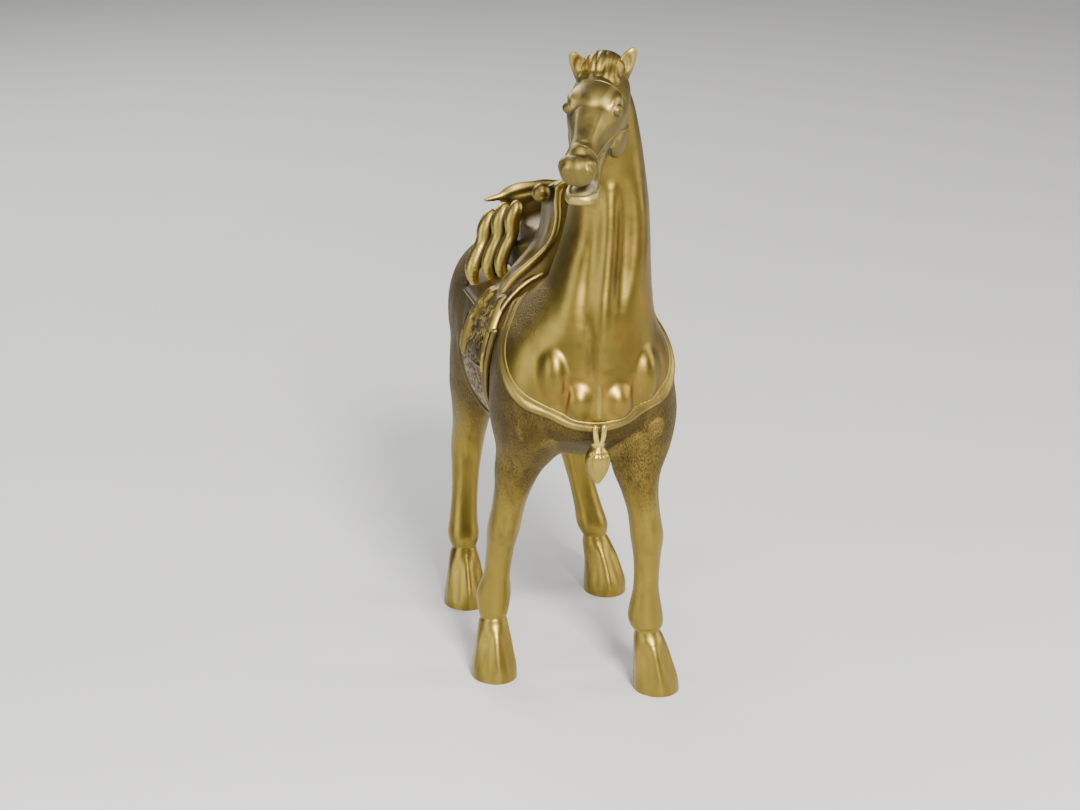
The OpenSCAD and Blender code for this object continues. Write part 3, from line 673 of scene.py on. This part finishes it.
def forelock_clay():
    """A soft cap of hair between the ears that ends in locks on the brow."""
    clay = Clay((-6, -56, 184), (12, -35, 199.5), 0.2)
    clay.add(ball((0, 6.8, -0.5), (6.6, 4.8, 6), HEAD), 0)
    clay.add(ball((0, 7, 6), (6.4, 2.9, 4.6), HEAD), 2)
    clay.add(ball((-0.6, 9.6, 1.5), (2.4, 1.8, 3.2), HEAD), 1.5)
    clay.add(ball((2.8, 8.6, 4.5), (1.9, 1.4, 3), HEAD), 1.2)
    for lock in LOCKS:
        clay.stroke(face(lock), 0.9, 0.3, taper=0.25)
    for a, b in zip(LOCKS, LOCKS[1:]):
        between = (np.array(face(a)) + np.array(face(b))) / 2
        clay.stroke(between, 0.4, -0.15, taper=0.2)
    return clay


# ---- sheets that lie on the body ----

def row_gap(rows, y, z):
    """Distance from a chain of points in the Y-Z plane."""
    best = np.inf
    for a, b in zip(rows, rows[1:]):
        best = np.minimum(best, from_segment((y, z), a, b)[0])
    return np.sqrt(best)


def outline(points):
    """Distance from a closed outline in the Y-Z plane, below zero inside it."""
    rows = curve(list(points) + [points[0]], 6)

    def distance(y, z):
        inside = np.zeros(np.broadcast(y, z).shape, bool)
        for (ay, az), (by, bz) in zip(rows, rows[1:]):
            inside ^= ((az > z) != (bz > z)) & (y < (by - ay) * (z - az) / (bz - az + TINY) + ay)
        return np.where(inside, -1, 1) * row_gap(rows, y, z)

    return distance


def sheet(clay, edge, low, high, soft=0.7):
    """Turns clay that holds the body into a sheet between two heights over it, inside an outline."""
    shell = -blend(-(clay.d - high), -(low - clay.d), 0.2)
    clay.d = -blend(-shell, -edge, soft).astype(np.float32)


def chisel_marks(y, z, box, count, seed, length, depth, lean=0.2):
    """Short random cuts over a box of the Y-Z plane, as a height below zero."""
    rng = np.random.default_rng(seed)
    height = np.zeros(np.broadcast(y, z).shape, np.float32)
    for _ in range(count):
        cy, cz = rng.uniform(box[0], box[1]), rng.uniform(box[2], box[3])
        half, turn = length * rng.uniform(0.5, 1) / 2, lean + rng.normal(0, 0.25)
        along = (y - cy) * math.sin(turn) + (z - cz) * math.cos(turn)
        aside = (y - cy) * math.cos(turn) - (z - cz) * math.sin(turn)
        height = np.minimum(height, -depth * np.exp(-(aside / 0.22) ** 2 - (along / half) ** 4))
    return height


# Outlines and lines on the body's side: y, z
FLAP_EDGE = [
    (-19, 119), (-24.2, 109), (-25.6, 99.5), (-22.5, 96.6), (-12, 96.2), (0, 96.6), (3, 99), (1.2, 108),
    (-3.6, 118.5), (-10, 121)
]
MUD_EDGE = [
    (-25.5, 111), (-26, 100), (-24.4, 90), (-20, 82), (-12, 78.2), (-4, 80.4), (2, 88), (5.2, 100), (6, 110)
]
SKIN_GAP = 0.12    # between a sheet and the body, mm
CLOTH = 1.3        # thickness of the cloth and the mud flaps
FLAP_MOST = 4.2    # highest point of a flap over the body
REAR_LINE = [(3, 98), (1.4, 108), (-3.5, 118)]
FRONT_LINE = [(-25.4, 98), (-24.2, 109), (-19.4, 118)]
# The raised lines along a flap's ends: line, distance inwards, half width, height
FLAP_BEADS = [
    (REAR_LINE, 0.8, 0.6, 0.8), (REAR_LINE, 2.4, 0.6, 0.8), (REAR_LINE, 5, 1.2, 1.2),
    (FRONT_LINE, -0.7, 0.6, 1), (FRONT_LINE, -3.4, 1.1, 1)
]


def side_clay(side, across, low, high, step, reach=FAR):
    """A block of clay on one side of the body, between two distances from the middle."""
    left, right = sorted(side * a for a in across)
    return Clay((left, *low), (right, *high), step, reach)


def bead_lines(y, z):
    """For each raised line of a flap: the distance from it, its half width and its height."""
    for line, shift, width, rise in FLAP_BEADS:
        yield row_gap(curve([(a - shift, b) for a, b in line], 6), y, z), width, rise


def flap_clay(side):
    clay = side_clay(side, (12, 32), (-29, 93), (7, 124), 0.3)
    model_body(clay)
    y, z = clay.axes[1][:, None], clay.axes[2][None, :]
    edge = outline(FLAP_EDGE)(y, z)
    height = 1.3 + 1.5 * fade(y, -25, -2) + 0 * edge
    for gap, width, rise in bead_lines(y, z):
        height += rise * np.exp(-(gap / width) ** 2)
    height += 0.5 * np.exp(-((edge + 1.2) / 0.8) ** 2) * (z < 104)
    panel = (y > -20.5) & (y < -4.2) & (z < 115) & (edge < -2)
    height += chisel_marks(y, z, (-20, -4, 97, 115), 230, 4, 2.2, 1) * panel
    sheet(clay, edge[None], SKIN_GAP, np.minimum(height, FLAP_MOST)[None], 0.8)
    return clay


def flap_gold(x, y, z):
    """The beads of a flap are rubbed bright."""
    shine = 0
    for gap, width, _ in bead_lines(y, z):
        shine = np.maximum(shine, np.exp(-(gap / (width + 0.4)) ** 2))
    return shine


def mud_flap_clay(side):
    clay = side_clay(side, (12, 32), (-29, 75), (9, 114), 0.33)
    model_body(clay)
    y, z = clay.axes[1][:, None], clay.axes[2][None, :]
    edge = outline(MUD_EDGE)(y, z)
    flare = SKIN_GAP + 2 * fade(y, -24, -2) * (1 - fade(z, 98, 108))
    height = flare + CLOTH
    height += 0.7 * np.exp(-((edge + 1.3) / 0.9) ** 2) - 0.4 * np.exp(-((edge + 3) / 0.5) ** 2)
    height += chisel_marks(y, z, (-23, 3, 80, 100), 300, 5, 1, 0.7) * (edge < -3.4)
    sheet(clay, edge[None], flare[None], height[None], 0.6)
    return clay


def cloth_clay():
    clay = body_clay((-28, -22, 106), (28, 26, 130), 0.4, reach=3)
    y, z = clay.axes[1][:, None], clay.axes[2][None, :]
    edge = np.maximum(np.maximum(-19 - y + (z - 126) * 0.2, y - 22.6), 109.8 - z)
    height = CLOTH + 0.5 * np.exp(-((edge + 1.2) / 0.8) ** 2)
    sheet(clay, edge[None], SKIN_GAP, height[None], 0.7)
    return clay


# ---- saddle ----

# Along Y
SEAT = [
    [-16.5, 0, 126, 7, 13, 8], [-14, 0, 125, 10.5, 18, 9], [-8, 0, 124, 12.6, 15.5, 9],
    [0, 0, 123.5, 13.6, 12.5, 9], [8, 0, 123.5, 14.2, 11.5, 9], [16, 0, 124, 14.6, 13, 9],
    [21, 0, 125, 13, 14.5, 8], [23, 0, 126, 9, 11, 6]
]
# Half of each arch, from the middle outwards: x, y, z, radius
POMMEL_RIM = [
    [0, -14.6, 151.9, 1.3], [-3.2, -15.3, 151.3, 1.3], [-4.2, -16.2, 147.6, 1.2],
    [-4.2, -16.9, 143.2, 1.1], [-4.8, -17.4, 139.8, 1.1], [-6.4, -18.4, 136.5, 1.1],
    [-9.2, -19.2, 133.7, 1.2], [-12.8, -20, 131, 1.2], [-17.8, -20.2, 126.8, 1.2], [-21.6, -20.2, 121.5, 1]
]
# The pommel's body, along Z
POMMEL = [
    [117.5, 0, -13, 21.6, 5, 6.5], [122, 0, -13, 20.4, 5, 6.6], [126, 0, -13, 17.6, 6, 6.8],
    [130, 0, -12.5, 13.6, 8, 7], [134, 0, -11.8, 10.4, 9, 6.8], [138, 0, -11.2, 8.6, 9, 6.4],
    [143, 0, -10.8, 7.4, 8.5, 6], [148, 0, -10.8, 6.8, 6, 5.4], [151, 0, -12, 5.4, 3.4, 3.6],
    [152.8, 0, -13, 2.4, 1.2, 1.6]
]
CANTLE_RIM = [
    [0, 21.6, 142.8, 1.7], [-5, 21.4, 142, 1.6], [-10, 21, 140.8, 1.4], [-15, 20.6, 139.8, 1.1],
    [-18.2, 20.4, 139.2, 0.6]
]
# One side's pleats from the rear forwards, each from its foot to its head: x, y, z, radius
PLEATS = [
    [[-23.6, 12.2, 115.6, 1.4], [-24.2, 12.2, 119.6, 2.3], [-22.4, 13, 124, 2.4],
     [-20.6, 13.8, 127.8, 2.2], [-19.8, 14.5, 131.6, 2.4], [-18.2, 15, 134.6, 2.3],
     [-17.4, 15.2, 136.2, 1.4]],
    [[-18.8, 8.2, 117.4, 1.4], [-20, 8, 121.6, 2.2], [-18.7, 8.4, 126, 2.3], [-16.6, 9, 130.4, 2.2],
     [-16.2, 9.6, 134.4, 2.6], [-15, 10, 137.6, 2.4], [-14.4, 10.3, 139.4, 1.4]],
    [[-16.2, 3.4, 118.8, 1.4], [-17, 3.4, 123.2, 2.1], [-15.6, 3.8, 127.8, 2.1], [-13.4, 4.5, 132.2, 2.1],
     [-13.2, 5, 136.4, 2.4], [-11.9, 5.4, 139.8, 2.2], [-11.4, 5.6, 141.2, 1.3]]
]
KNOB = (-8.2, -14.6, 149.6)
KNOB_R = 2.9


def both_sides(rows):
    return rows[:0:-1] + [[-r[0]] + r[1:] for r in rows]


def seat_clay():
    clay = Clay((-20, -19, 112), (20, 25, 142), 0.4)
    clay.add(tube(SEAT, order=(0, 2, 1)), 0)
    clay.add(ball((0, 6, 134), (9, 11, 3.2)), 3)
    for side in (-1, 1):
        clay.carve(ball((side * 17.4, -8, 137), (6.5, 9, 10)), 3)
        clay.stroke([(side * 12, -14, 134), (side * 12.6, -2, 130), (side * 13.4, 8, 131)], 1.2, 0.5)
    return clay


def pommel_clay():
    clay = Clay((-27, -24, 115), (27, -0.5, 155), 0.32)
    clay.add(tube(POMMEL), 0)
    for side in (1, -1):
        clay.carve(ball((side * 16.5, -9, 140), (8.5, 6.5, 8.5)), 3)
        clay.stroke([(side * 8, -11, 146), (side * 9, -10, 139), (side * 13, -11, 132)], 1.6, 0.5)
    rim = curve(both_sides(POMMEL_RIM), 3)
    rim[:, :3] = clay.settle(rim[:, :3])
    clay.add(rod(rim[:, :3], rim[:, 3]), 0.5)
    for side in (1, -1):
        x, y, z = side * -KNOB[0], KNOB[1], KNOB[2]
        clay.add(ball((x, y, z), (KNOB_R, KNOB_R, KNOB_R)), 0.15)
        clay.stroke([(x - 2, y - 2, z - 1.2), (x, y - 3, z - 0.4), (x + 2, y - 2, z - 1)], 0.4, -0.4)
        edge = [(side * x, y + 2.4, z - 0.4) for x, y, z, _ in POMMEL_RIM[1:]]
        clay.stroke(edge, 0.8, -0.6)
    return clay


def cantle_clay():
    clay = Clay((-21, 15, 132), (21, 26, 148), 0.3)
    for side in (-1, 1):
        clay.add(ball((side * 5.5, 21, 139.6), (8.5, 1.7, 4.6)), 1.5)
    rim = curve(both_sides(CANTLE_RIM), 4)
    clay.add(rod(rim[:, :3], rim[:, 3]), 0.8)
    groove = [(-14, 18.8, 139.8), (-6, 19.4, 141.2), (0, 19.6, 141.6), (6, 19.4, 141.2), (14, 18.8, 139.8)]
    clay.stroke(groove, 0.8, -0.5)
    return clay


def pleat_clay(side):
    clay = side_clay(side, (9, 29), (0, 115), (19, 145), 0.25, reach=1)
    for rows in PLEATS:
        clay.add(bent_rod([[-side * r[0]] + r[1:] for r in rows]), 0.5)
    return clay


# ---- harness ----

def collar_clay():
    clay = body_clay((-26.5, -62, 84), (26.5, -22, 123), 0.3, reach=2.5)
    y, z = clay.axes[1][None, :, None], clay.axes[2][None, None, :]
    over = past_collar(y, z)
    strap = np.sqrt((over + 0.35) ** 2 + (clay.d - 0.1) ** 2) - 0.95
    line = np.sqrt((over - 1.25) ** 2 + (clay.d - 0.05) ** 2) - 0.3
    flat = -blend(-(np.abs(over - 0.3) - 1.1), -(np.abs(clay.d) - 0.25), 0.2)
    clay.d = blend(blend(strap, line, 0.2), flat, 0.3).astype(np.float32)
    end = np.broadcast_to(y + 24.5, clay.d.shape)
    clay.d = -blend(-clay.d, -end, 0.6).astype(np.float32)
    return clay


# Along Z
TASSEL = [
    [71.7, -0.5, -57.6, 0.4, 0.4, 0.4], [73.4, -0.5, -57.5, 1.7, 1.6, 1.6], [76, -0.5, -57.4, 3.1, 2.9, 3.1],
    [79, -0.5, -57.4, 3.8, 3.4, 3.8], [81.6, -0.5, -57.5, 3.2, 3, 3.3], [83.6, -0.5, -57.6, 1.7, 1.7, 1.8],
    [84.4, -0.5, -57.6, 1.2, 1.2, 1.2]
]


def tassel_clay():
    clay = Clay((-6, -63, 70), (5, -52, 92), 0.2)
    clay.add(tube(TASSEL), 0)
    clay.add(ball((-0.5, -57.8, 84.2), (2.1, 1.9, 0.9)), 0.3)
    clay.add(bent_rod([[-1.7, -59.4, 89.6, 0.85], [-1.5, -59.6, 87, 0.85], [-0.9, -58.6, 84, 0.8]]), 0.15)
    clay.add(bent_rod([[0.9, -59.4, 89.6, 0.85], [0.6, -59.6, 87, 0.85], [0.0, -58.6, 84, 0.8]]), 0.15)
    for dx in (-2.6, -0.9, 0.9, 2.6):
        y = -57.4 - math.sqrt(max(0.1, 3.8 ** 2 - dx ** 2))
        thread = [(-0.5 + dx * 0.3, -59.2, 73.2), (-0.5 + dx, y, 78.6), (-0.5 + dx * 0.5, -59.6, 83.2)]
        clay.stroke(thread, 0.4, -0.45)
    tie = [(-3.8, -58, 81), (-2.6, -60, 81.4), (-0.5, -61, 81.6), (1.6, -60, 81.4), (2.8, -58, 81)]
    clay.stroke(tie, 0.4, -0.35)
    return clay


STRAP_SINK = 0.14   # how far a strap's middle line lies under the skin, mm


def strap_clay(line, radius):
    """A strap on the face: a half-sunk rod along a line laid on the head's skin."""
    points = np.array(face(line))
    clay = Clay(points.min(0) - 4, points.max(0) + 4, 0.2)
    model_head(clay)
    path = clay.settle(curve(points, 5))
    path = path - STRAP_SINK * clay.slope(path)
    clay.d[:] = FAR
    clay.add(rod(path, radius), 0.2)
    return clay


# The left cheek strap, the browband and the noseband, in the head's own frame
CHEEK = [
    (8.2, -8.2, 5.4), (8.3, -5.4, 12), (7.8, -2.6, 19), (6.8, -0.8, 25.6), (5.4, 0.9, 32), (4.9, 2.2, 36.6)
]
BROW = [
    (-7.6, 2.6, 9.4), (-6.9, 5.8, 9.6), (-4.6, 8.2, 10), (0, 9.2, 10.6), (4.6, 8.2, 10.4), (6.9, 5.8, 10),
    (7.6, 2.6, 9.8)
]
NOSE = [
    (-4.9, 0.6, 36.6), (-4.3, 3.6, 37), (-2.4, 5.7, 37.2), (0, 6.2, 37.3), (2.4, 5.7, 37.2), (4.3, 3.6, 37),
    (4.9, 0.6, 36.6)
]


# ---- mane and tail ----

def mane_clay():
    clay = Clay((-3, -38, 118), (15, -17, 187), 0.35)
    crest = [[3, -20.9, 122, 1], [4.4, -22.4, 128, 2], [6.2, -23.4, 138, 2.3], [7, -23.8, 148, 2.3],
             [7, -25.2, 158, 2.3], [6.6, -27, 168, 2.2], [5.8, -29.6, 177, 2.1], [5.2, -32, 183, 1.2]]
    clay.add(bent_rod(crest), 0)
    for x, y, z, r in curve(crest, 3)[1:-1]:
        y0, z0 = y - 1.4, z - 1.4
        clay.stroke([(x - 3, y0, z0), (x - 1, y + r, z), (x + 1, y + r, z), (x + 3, y0, z0)], 0.55, -0.5)
    return clay


def tail_clay():
    clay = Clay((-6, 49, 88), (6, 71, 125), 0.3)
    spine = [[0, 53.5, 117, 2.9], [0, 58, 119.2, 3.1], [0, 62.4, 118, 3.2], [0, 65.2, 113.4, 3.4],
             [0, 66, 106, 3.4], [0, 65.4, 98.6, 2.9], [0, 64.2, 92, 0.9]]
    clay.add(bent_rod(spine), 0)
    middle = curve(spine, 4)
    for angle in range(0, 360, 45):
        lock = []
        for k, (x, y, z, r) in enumerate(middle):
            t = math.radians(angle + 5 * k)
            lock.append((x + r * math.sin(t), y + r * math.cos(t) * 0.9, z + r * math.cos(t) * 0.3))
        clay.stroke(lock, 0.6, -0.6, 1)
    return clay


# ---- materials ----

class Nodes:
    """A material's node tree, with short calls that add and link a node."""

    def __init__(self, name):
        self.material = bpy.data.materials.new(name)
        self.material.use_nodes = True
        self.tree = self.material.node_tree
        self.tree.nodes.clear()
        where = self.tree.nodes.new("ShaderNodeTexCoord")
        self.where = where.outputs["Object"]

    def new(self, kind, inputs):
        """Adds a node and links or sets its inputs."""
        node = self.tree.nodes.new("ShaderNode" + kind)
        self.fill(node, inputs)
        return node

    def fill(self, node, inputs):
        for socket, value in inputs.items():
            if isinstance(value, bpy.types.NodeSocket):
                self.tree.links.new(value, node.inputs[socket])
            else:
                node.inputs[socket].default_value = value

    def math(self, kind, a, b, clamp=False):
        node = self.new("Math", {0: a, 1: b})
        node.operation = kind
        node.use_clamp = clamp
        return node.outputs[0]

    def plus(self, a, b, clamp=False):
        return self.math("ADD", a, b, clamp)

    def times(self, a, b):
        return self.math("MULTIPLY", a, b)

    def mix(self, share, a, b):
        node = self.new("Mix", {})
        node.data_type = "RGBA"
        self.fill(node, {0: share, 6: a, 7: b})
        return node.outputs[2]

    def mark(self, name):
        node = self.new("Attribute", {})
        node.attribute_name = name
        return node.outputs["Fac"]

    def stretched(self, *scale):
        return self.new("Mapping", {"Vector": self.where, "Scale": scale}).outputs[0]

    def noise(self, scale, detail=3.0, vector=None):
        inputs = {"Vector": vector or self.where, "Scale": scale, "Detail": detail, "Roughness": 0.55}
        return self.new("TexNoise", inputs).outputs["Fac"]

    def cells(self, scale, vector=None):
        return self.new("TexVoronoi", {"Vector": vector or self.where, "Scale": scale}).outputs["Distance"]

    def step(self, value, low, high):
        node = self.new("MapRange", {"Value": value, "From Min": low, "From Max": high})
        node.interpolation_type = "SMOOTHSTEP"
        return node.outputs[0]

    def bump(self, height, strength, distance, under=None):
        node = self.new("Bump", {"Height": height, "Strength": strength, "Distance": distance})
        if under:
            self.fill(node, {"Normal": under})
        return node.outputs[0]

    def surface(self, colour, roughness, normal, metallic):
        """Ends the tree and returns the material."""
        inputs = {"Base Color": colour, "Roughness": roughness, "Normal": normal, "Metallic": metallic}
        shader = self.new("BsdfPrincipled", inputs)
        self.new("OutputMaterial", {0: shader.outputs[0]})
        return self.material


# Colours of the metal, its lacquer, patina and dust, the painted shade in its hollows and the painted glints
# on its chased hair
GOLD = (0.44, 0.315, 0.070, 1)
OLIVE = (0.135, 0.096, 0.024, 1)
BRASS = (0.54, 0.405, 0.090, 1)
OCHRE = (0.265, 0.190, 0.038, 1)
AMBER = (0.27, 0.140, 0.026, 1)
UMBER = (0.046, 0.030, 0.013, 1)
# painted shade, mixed into the hollows
PAINTED_SHADE = (0.010, 0.007, 0.004, 1)
DUST = (0.15, 0.145, 0.125, 1)
# painted glints, speckled over the chased hair
PAINTED_GLINT = (0.60, 0.50, 0.30, 1)
# For each bronze: its colour where rubbed, its colour elsewhere, roughness, dust
METALS = {
    "body": (GOLD, OLIVE, 0.39, 0.0),
    "face": ((0.42, 0.32, 0.095, 1), (0.165, 0.125, 0.036, 1), 0.47, 0.0),
    "saddle": ((0.30, 0.215, 0.065, 1), (0.075, 0.053, 0.020, 1), 0.39, 0.1),
    "worn": ((0.64, 0.49, 0.13, 1), (0.36, 0.265, 0.060, 1), 0.36, 0.0),
    "trim": ((0.43, 0.315, 0.080, 1), (0.19, 0.138, 0.036, 1), 0.42, 0.0),
    "rod": (GOLD, OLIVE, 0.39, 0.0)
}


def bronze(name, bright, body, rough, dusty):
    """Cast bronze: rubbed bright on ridges, lacquer and painted shade in hollows, chased hair with painted
    glints where marked.
    """
    n = Nodes(name)
    clouds = n.noise(95, 4)
    blotches = n.noise(330, 5)
    grain = n.noise(2600, 2)
    gold = n.mark("gold")
    hair = n.mark("hair")
    # wear and patina
    high = n.plus(n.mark("ridge"), n.times(clouds, 0.7))
    low_tone = n.mix(gold, body, OCHRE)
    high_tone = n.mix(gold, bright, BRASS)
    colour = n.mix(n.step(high, 0.30, 1.0), low_tone, high_tone)
    lacquer = n.times(n.mark("hollow"), 0.7)
    amber = n.step(n.plus(clouds, lacquer), 0.45, 1.0)
    colour = n.mix(n.times(n.mark("amber"), amber), colour, AMBER)
    streaks = n.step(n.noise(170, 4, n.stretched(1.0, 1.0, 0.2)), 0.50, 0.72)
    colour = n.mix(n.times(streaks, 0.5), colour, UMBER)
    colour = n.mix(n.times(hair, 0.35), colour, UMBER)
    # chased hair: short dark cuts, and painted glints: small pale specks between them
    cuts = n.cells(2300, n.stretched(1.0, 1.0, 0.45))
    pits = n.cells(2500)
    dark = n.times(hair, n.step(n.plus(cuts, blotches), 1.20, 0.55))
    colour = n.mix(n.times(dark, 0.8), colour, UMBER)
    speck = n.times(hair, n.step(pits, 0.16, 0.05))
    speck = n.times(speck, n.step(blotches, 0.48, 0.6))
    colour = n.mix(n.times(speck, 0.5), colour, PAINTED_GLINT)
    # painted shade: the hollows darkened nearly to black, and also made rougher and less metallic
    hollow_shade = n.step(n.plus(n.mark("hollow"), n.times(blotches, 0.35)), 0.42, 1.10)
    colour = n.mix(n.times(hollow_shade, 0.88), colour, PAINTED_SHADE)
    dust = n.plus(n.mark("dust"), dusty, clamp=True)
    dust = n.times(dust, n.step(n.noise(210, 4), 0.36, 0.66))
    colour = n.mix(n.times(dust, 0.65), colour, DUST)
    roughness = n.plus(n.times(blotches, 0.16), rough - 0.08)
    roughness = n.plus(roughness, n.times(n.plus(dust, hair), 0.14))
    roughness = n.plus(roughness, n.times(hollow_shade, 0.2), clamp=True)
    metallic = n.math("SUBTRACT", 1.0, n.times(n.math("MAXIMUM", dust, hollow_shade), 0.6))
    skin = n.bump(grain, 0.10, 0.00008)
    skin = n.bump(blotches, 0.28, 0.00012, skin)
    chasing = n.times(n.plus(cuts, n.times(pits, 0.5)), hair)
    skin = n.bump(chasing, 0.6, 0.0003, skin)
    return n.surface(colour, roughness, skin, metallic)


def plain(name, colour, roughness):
    n = Nodes(name)
    mottled = n.mix(n.noise(14, 3), colour, tuple(0.94 * c for c in colour[:3]) + (1,))
    return n.surface(mottled, roughness, n.bump(n.noise(900, 2), 0.05, 0.0002), 0.0)


# ---- camera, light and floor ----

CAMERA_AT = (-225.26, -1033.57, 413.72)
CAMERA_TURN = -12.0     # degrees
CAMERA_DIP = 17.6       # degrees
LENS = 120.0
SENSOR = 36.0
TARGET = (0, 0, 100)    # where the lamps aim


def camera():
    data = bpy.data.cameras.new("camera")
    data.lens = LENS
    data.sensor_width = SENSOR
    data.clip_start = 0.05
    data.clip_end = 20.0
    obj = bpy.data.objects.new("camera", data)
    obj.location = to_row(CAMERA_AT)
    obj.rotation_euler = (math.radians(90 - CAMERA_DIP), 0, math.radians(CAMERA_TURN))
    bpy.context.scene.camera = show(obj)


def lamp(name, at, size, power, colour=(1, 1, 1)):
    data = bpy.data.lights.new(name, "AREA")
    data.shape = "RECTANGLE"
    data.size, data.size_y = size
    data.energy = power
    data.color = colour
    obj = bpy.data.objects.new(name, data)
    obj.location = to_row(at)
    aim = Vector(to_row(TARGET)) - obj.location
    obj.rotation_euler = aim.to_track_quat("-Z", "Y").to_euler()
    show(obj)


FLOOR_HALF = 2.5   # metres
FLOOR_PAINT = (0.62, 0.62, 0.61, 1)
SKY = (0.50, 0.52, 0.55, 1)
SKY_STRENGTH = 0.2


def stage():
    mesh = bpy.data.meshes.new("floor")
    z = CAD_LOW.z
    corners = [(x * FLOOR_HALF, y * FLOOR_HALF, z) for x, y in ((-1, -1), (1, -1), (1, 1), (-1, 1))]
    mesh.from_pydata(corners, [], [(0, 1, 2, 3)])
    mesh.materials.append(plain("floor_paint", FLOOR_PAINT, 0.6))
    show(bpy.data.objects.new("floor", mesh))
    world = bpy.data.worlds.new("studio")
    world.use_nodes = True
    back = world.node_tree.nodes["Background"]
    back.inputs["Color"].default_value = SKY
    back.inputs["Strength"].default_value = SKY_STRENGTH
    bpy.context.scene.world = world
    lamp("key", (20, -930, 730), (0.20, 0.20), 30, (1.0, 0.98, 0.94))
    lamp("top", (-60, -420, 1150), (0.9, 0.9), 9, (1.0, 0.98, 0.95))
    lamp("fill", (-900, -350, 350), (0.6, 0.6), 5, (0.92, 0.96, 1.0))
    lamp("side", (800, -100, 420), (0.5, 0.6), 5, (1.0, 0.95, 0.88))
    lamp("back", (-200, 800, 600), (0.6, 0.4), 6)


# ---- putting it together ----

def unworn(x, y, z):
    """A thin strap keeps the colour of the metal beside it."""
    return np.full(x.shape, 0.15)


def inside_mouth(x, y, z):
    """The tongue and the floor of the mouth are pale and dusty."""
    u, w, s = HEAD.local(x, y, z)
    deep = fade(w, -9.6, -8.8) * (1 - fade(w, -4.6, -3.8))
    return fade(s, 33, 36) * (1 - fade(s, 42.0, 42.8)) * deep * (np.abs(u) < 3.9)


def pommel_dust(x, y, z):
    """Grey dust lies on the hollow flanks behind the rim."""
    return fade(y, -17.5, -15.0) * (1 - fade(z, 146, 150)) * fade(np.abs(x), 3, 6)


def leg_clay(rows):
    table = np.array(rows)[:15]
    x, y, half, rear, fore = table[:, 1:].T
    lo = (x - half).min() - 1.5, (y - fore).min() - 1.5, -1.2
    hi = (x + half).max() + 1.5, (y + rear).max() + 1.5, LEG_TOP + 1.2
    return body_clay(lo, hi, 0.33)


def build_body(metal):
    marks = {"hair": speckled_hair, "amber": orange, "gold": golden}
    behind, before = (COLLAR_POINT, COLLAR_NORMAL), (COLLAR_POINT, -COLLAR_NORMAL)
    above, below = ((0, 0, LEG_TOP), (0, 0, -1)), ((0, 0, LEG_TOP), (0, 0, 1))
    ground = (0, 0, 0), (0, 0, -1)
    piece("torso", body_clay((-29.5, -62, 66), (29.5, 65, 131), 0.54), metal, [above, behind], marks)
    piece("neck", body_clay((-27, -63, 84), (27, -16, 192), 0.42), metal, [before], marks)
    for node, rows in LEGS.items():
        piece(node, leg_clay(rows), metal, [below, ground], marks)


def build_head(face_metal, trim):
    piece("head", head_clay(), face_metal, marks={"dust": inside_mouth})
    piece("ear_right", ear_clay(*EAR_RIGHT), face_metal)
    piece("ear_left", ear_clay(*EAR_LEFT), face_metal)
    piece("forelock", forelock_clay(), trim)


def build_saddle(dark, worn, trim):
    piece("saddle_cloth", cloth_clay(), dark, feel=THIN, kind="sheet")
    for side, word in ((-1, "right"), (1, "left")):
        piece("saddle_flap_" + word, flap_clay(side), dark, marks={"gold": flap_gold}, feel=THIN)
        piece("mud_flap_" + word, mud_flap_clay(side), dark, feel=THIN)
        piece("pleats_" + word, pleat_clay(side), worn)
    piece("saddle_seat", seat_clay(), dark)
    piece("pommel", pommel_clay(), trim, marks={"dust": pommel_dust})
    piece("cantle", cantle_clay(), trim)


def build_harness(face_metal, worn, trim):
    dull = {"ridge": unworn}
    piece("breast_collar", collar_clay(), trim, marks=dull)
    piece("tassel", tassel_clay(), worn)
    piece("browband", strap_clay(BROW, 0.30), face_metal, marks=dull)
    piece("noseband", strap_clay(NOSE, 0.30), face_metal, marks=dull)
    for word, side in (("left", 1), ("right", -1)):
        line = [(side * u, w, s) for u, w, s in CHEEK]
        piece("cheek_strap_" + word, strap_clay(line, 0.42), face_metal, marks=dull)


def build():
    metal = {name: bronze("bronze_" + name, *looks) for name, looks in METALS.items()}
    build_body(metal["body"])
    build_head(metal["face"], metal["trim"])
    piece("mane", mane_clay(), metal["body"])
    piece("tail", tail_clay(), metal["body"])
    build_saddle(metal["saddle"], metal["worn"], metal["trim"])
    build_harness(metal["face"], metal["worn"], metal["trim"])
    for node in ("leg_pins", "neck_pins", "head_dowel", "saddle_pins"):
        for slot in bpy.data.objects[node].material_slots:
            slot.material = metal["rod"]


camera()
stage()
build()
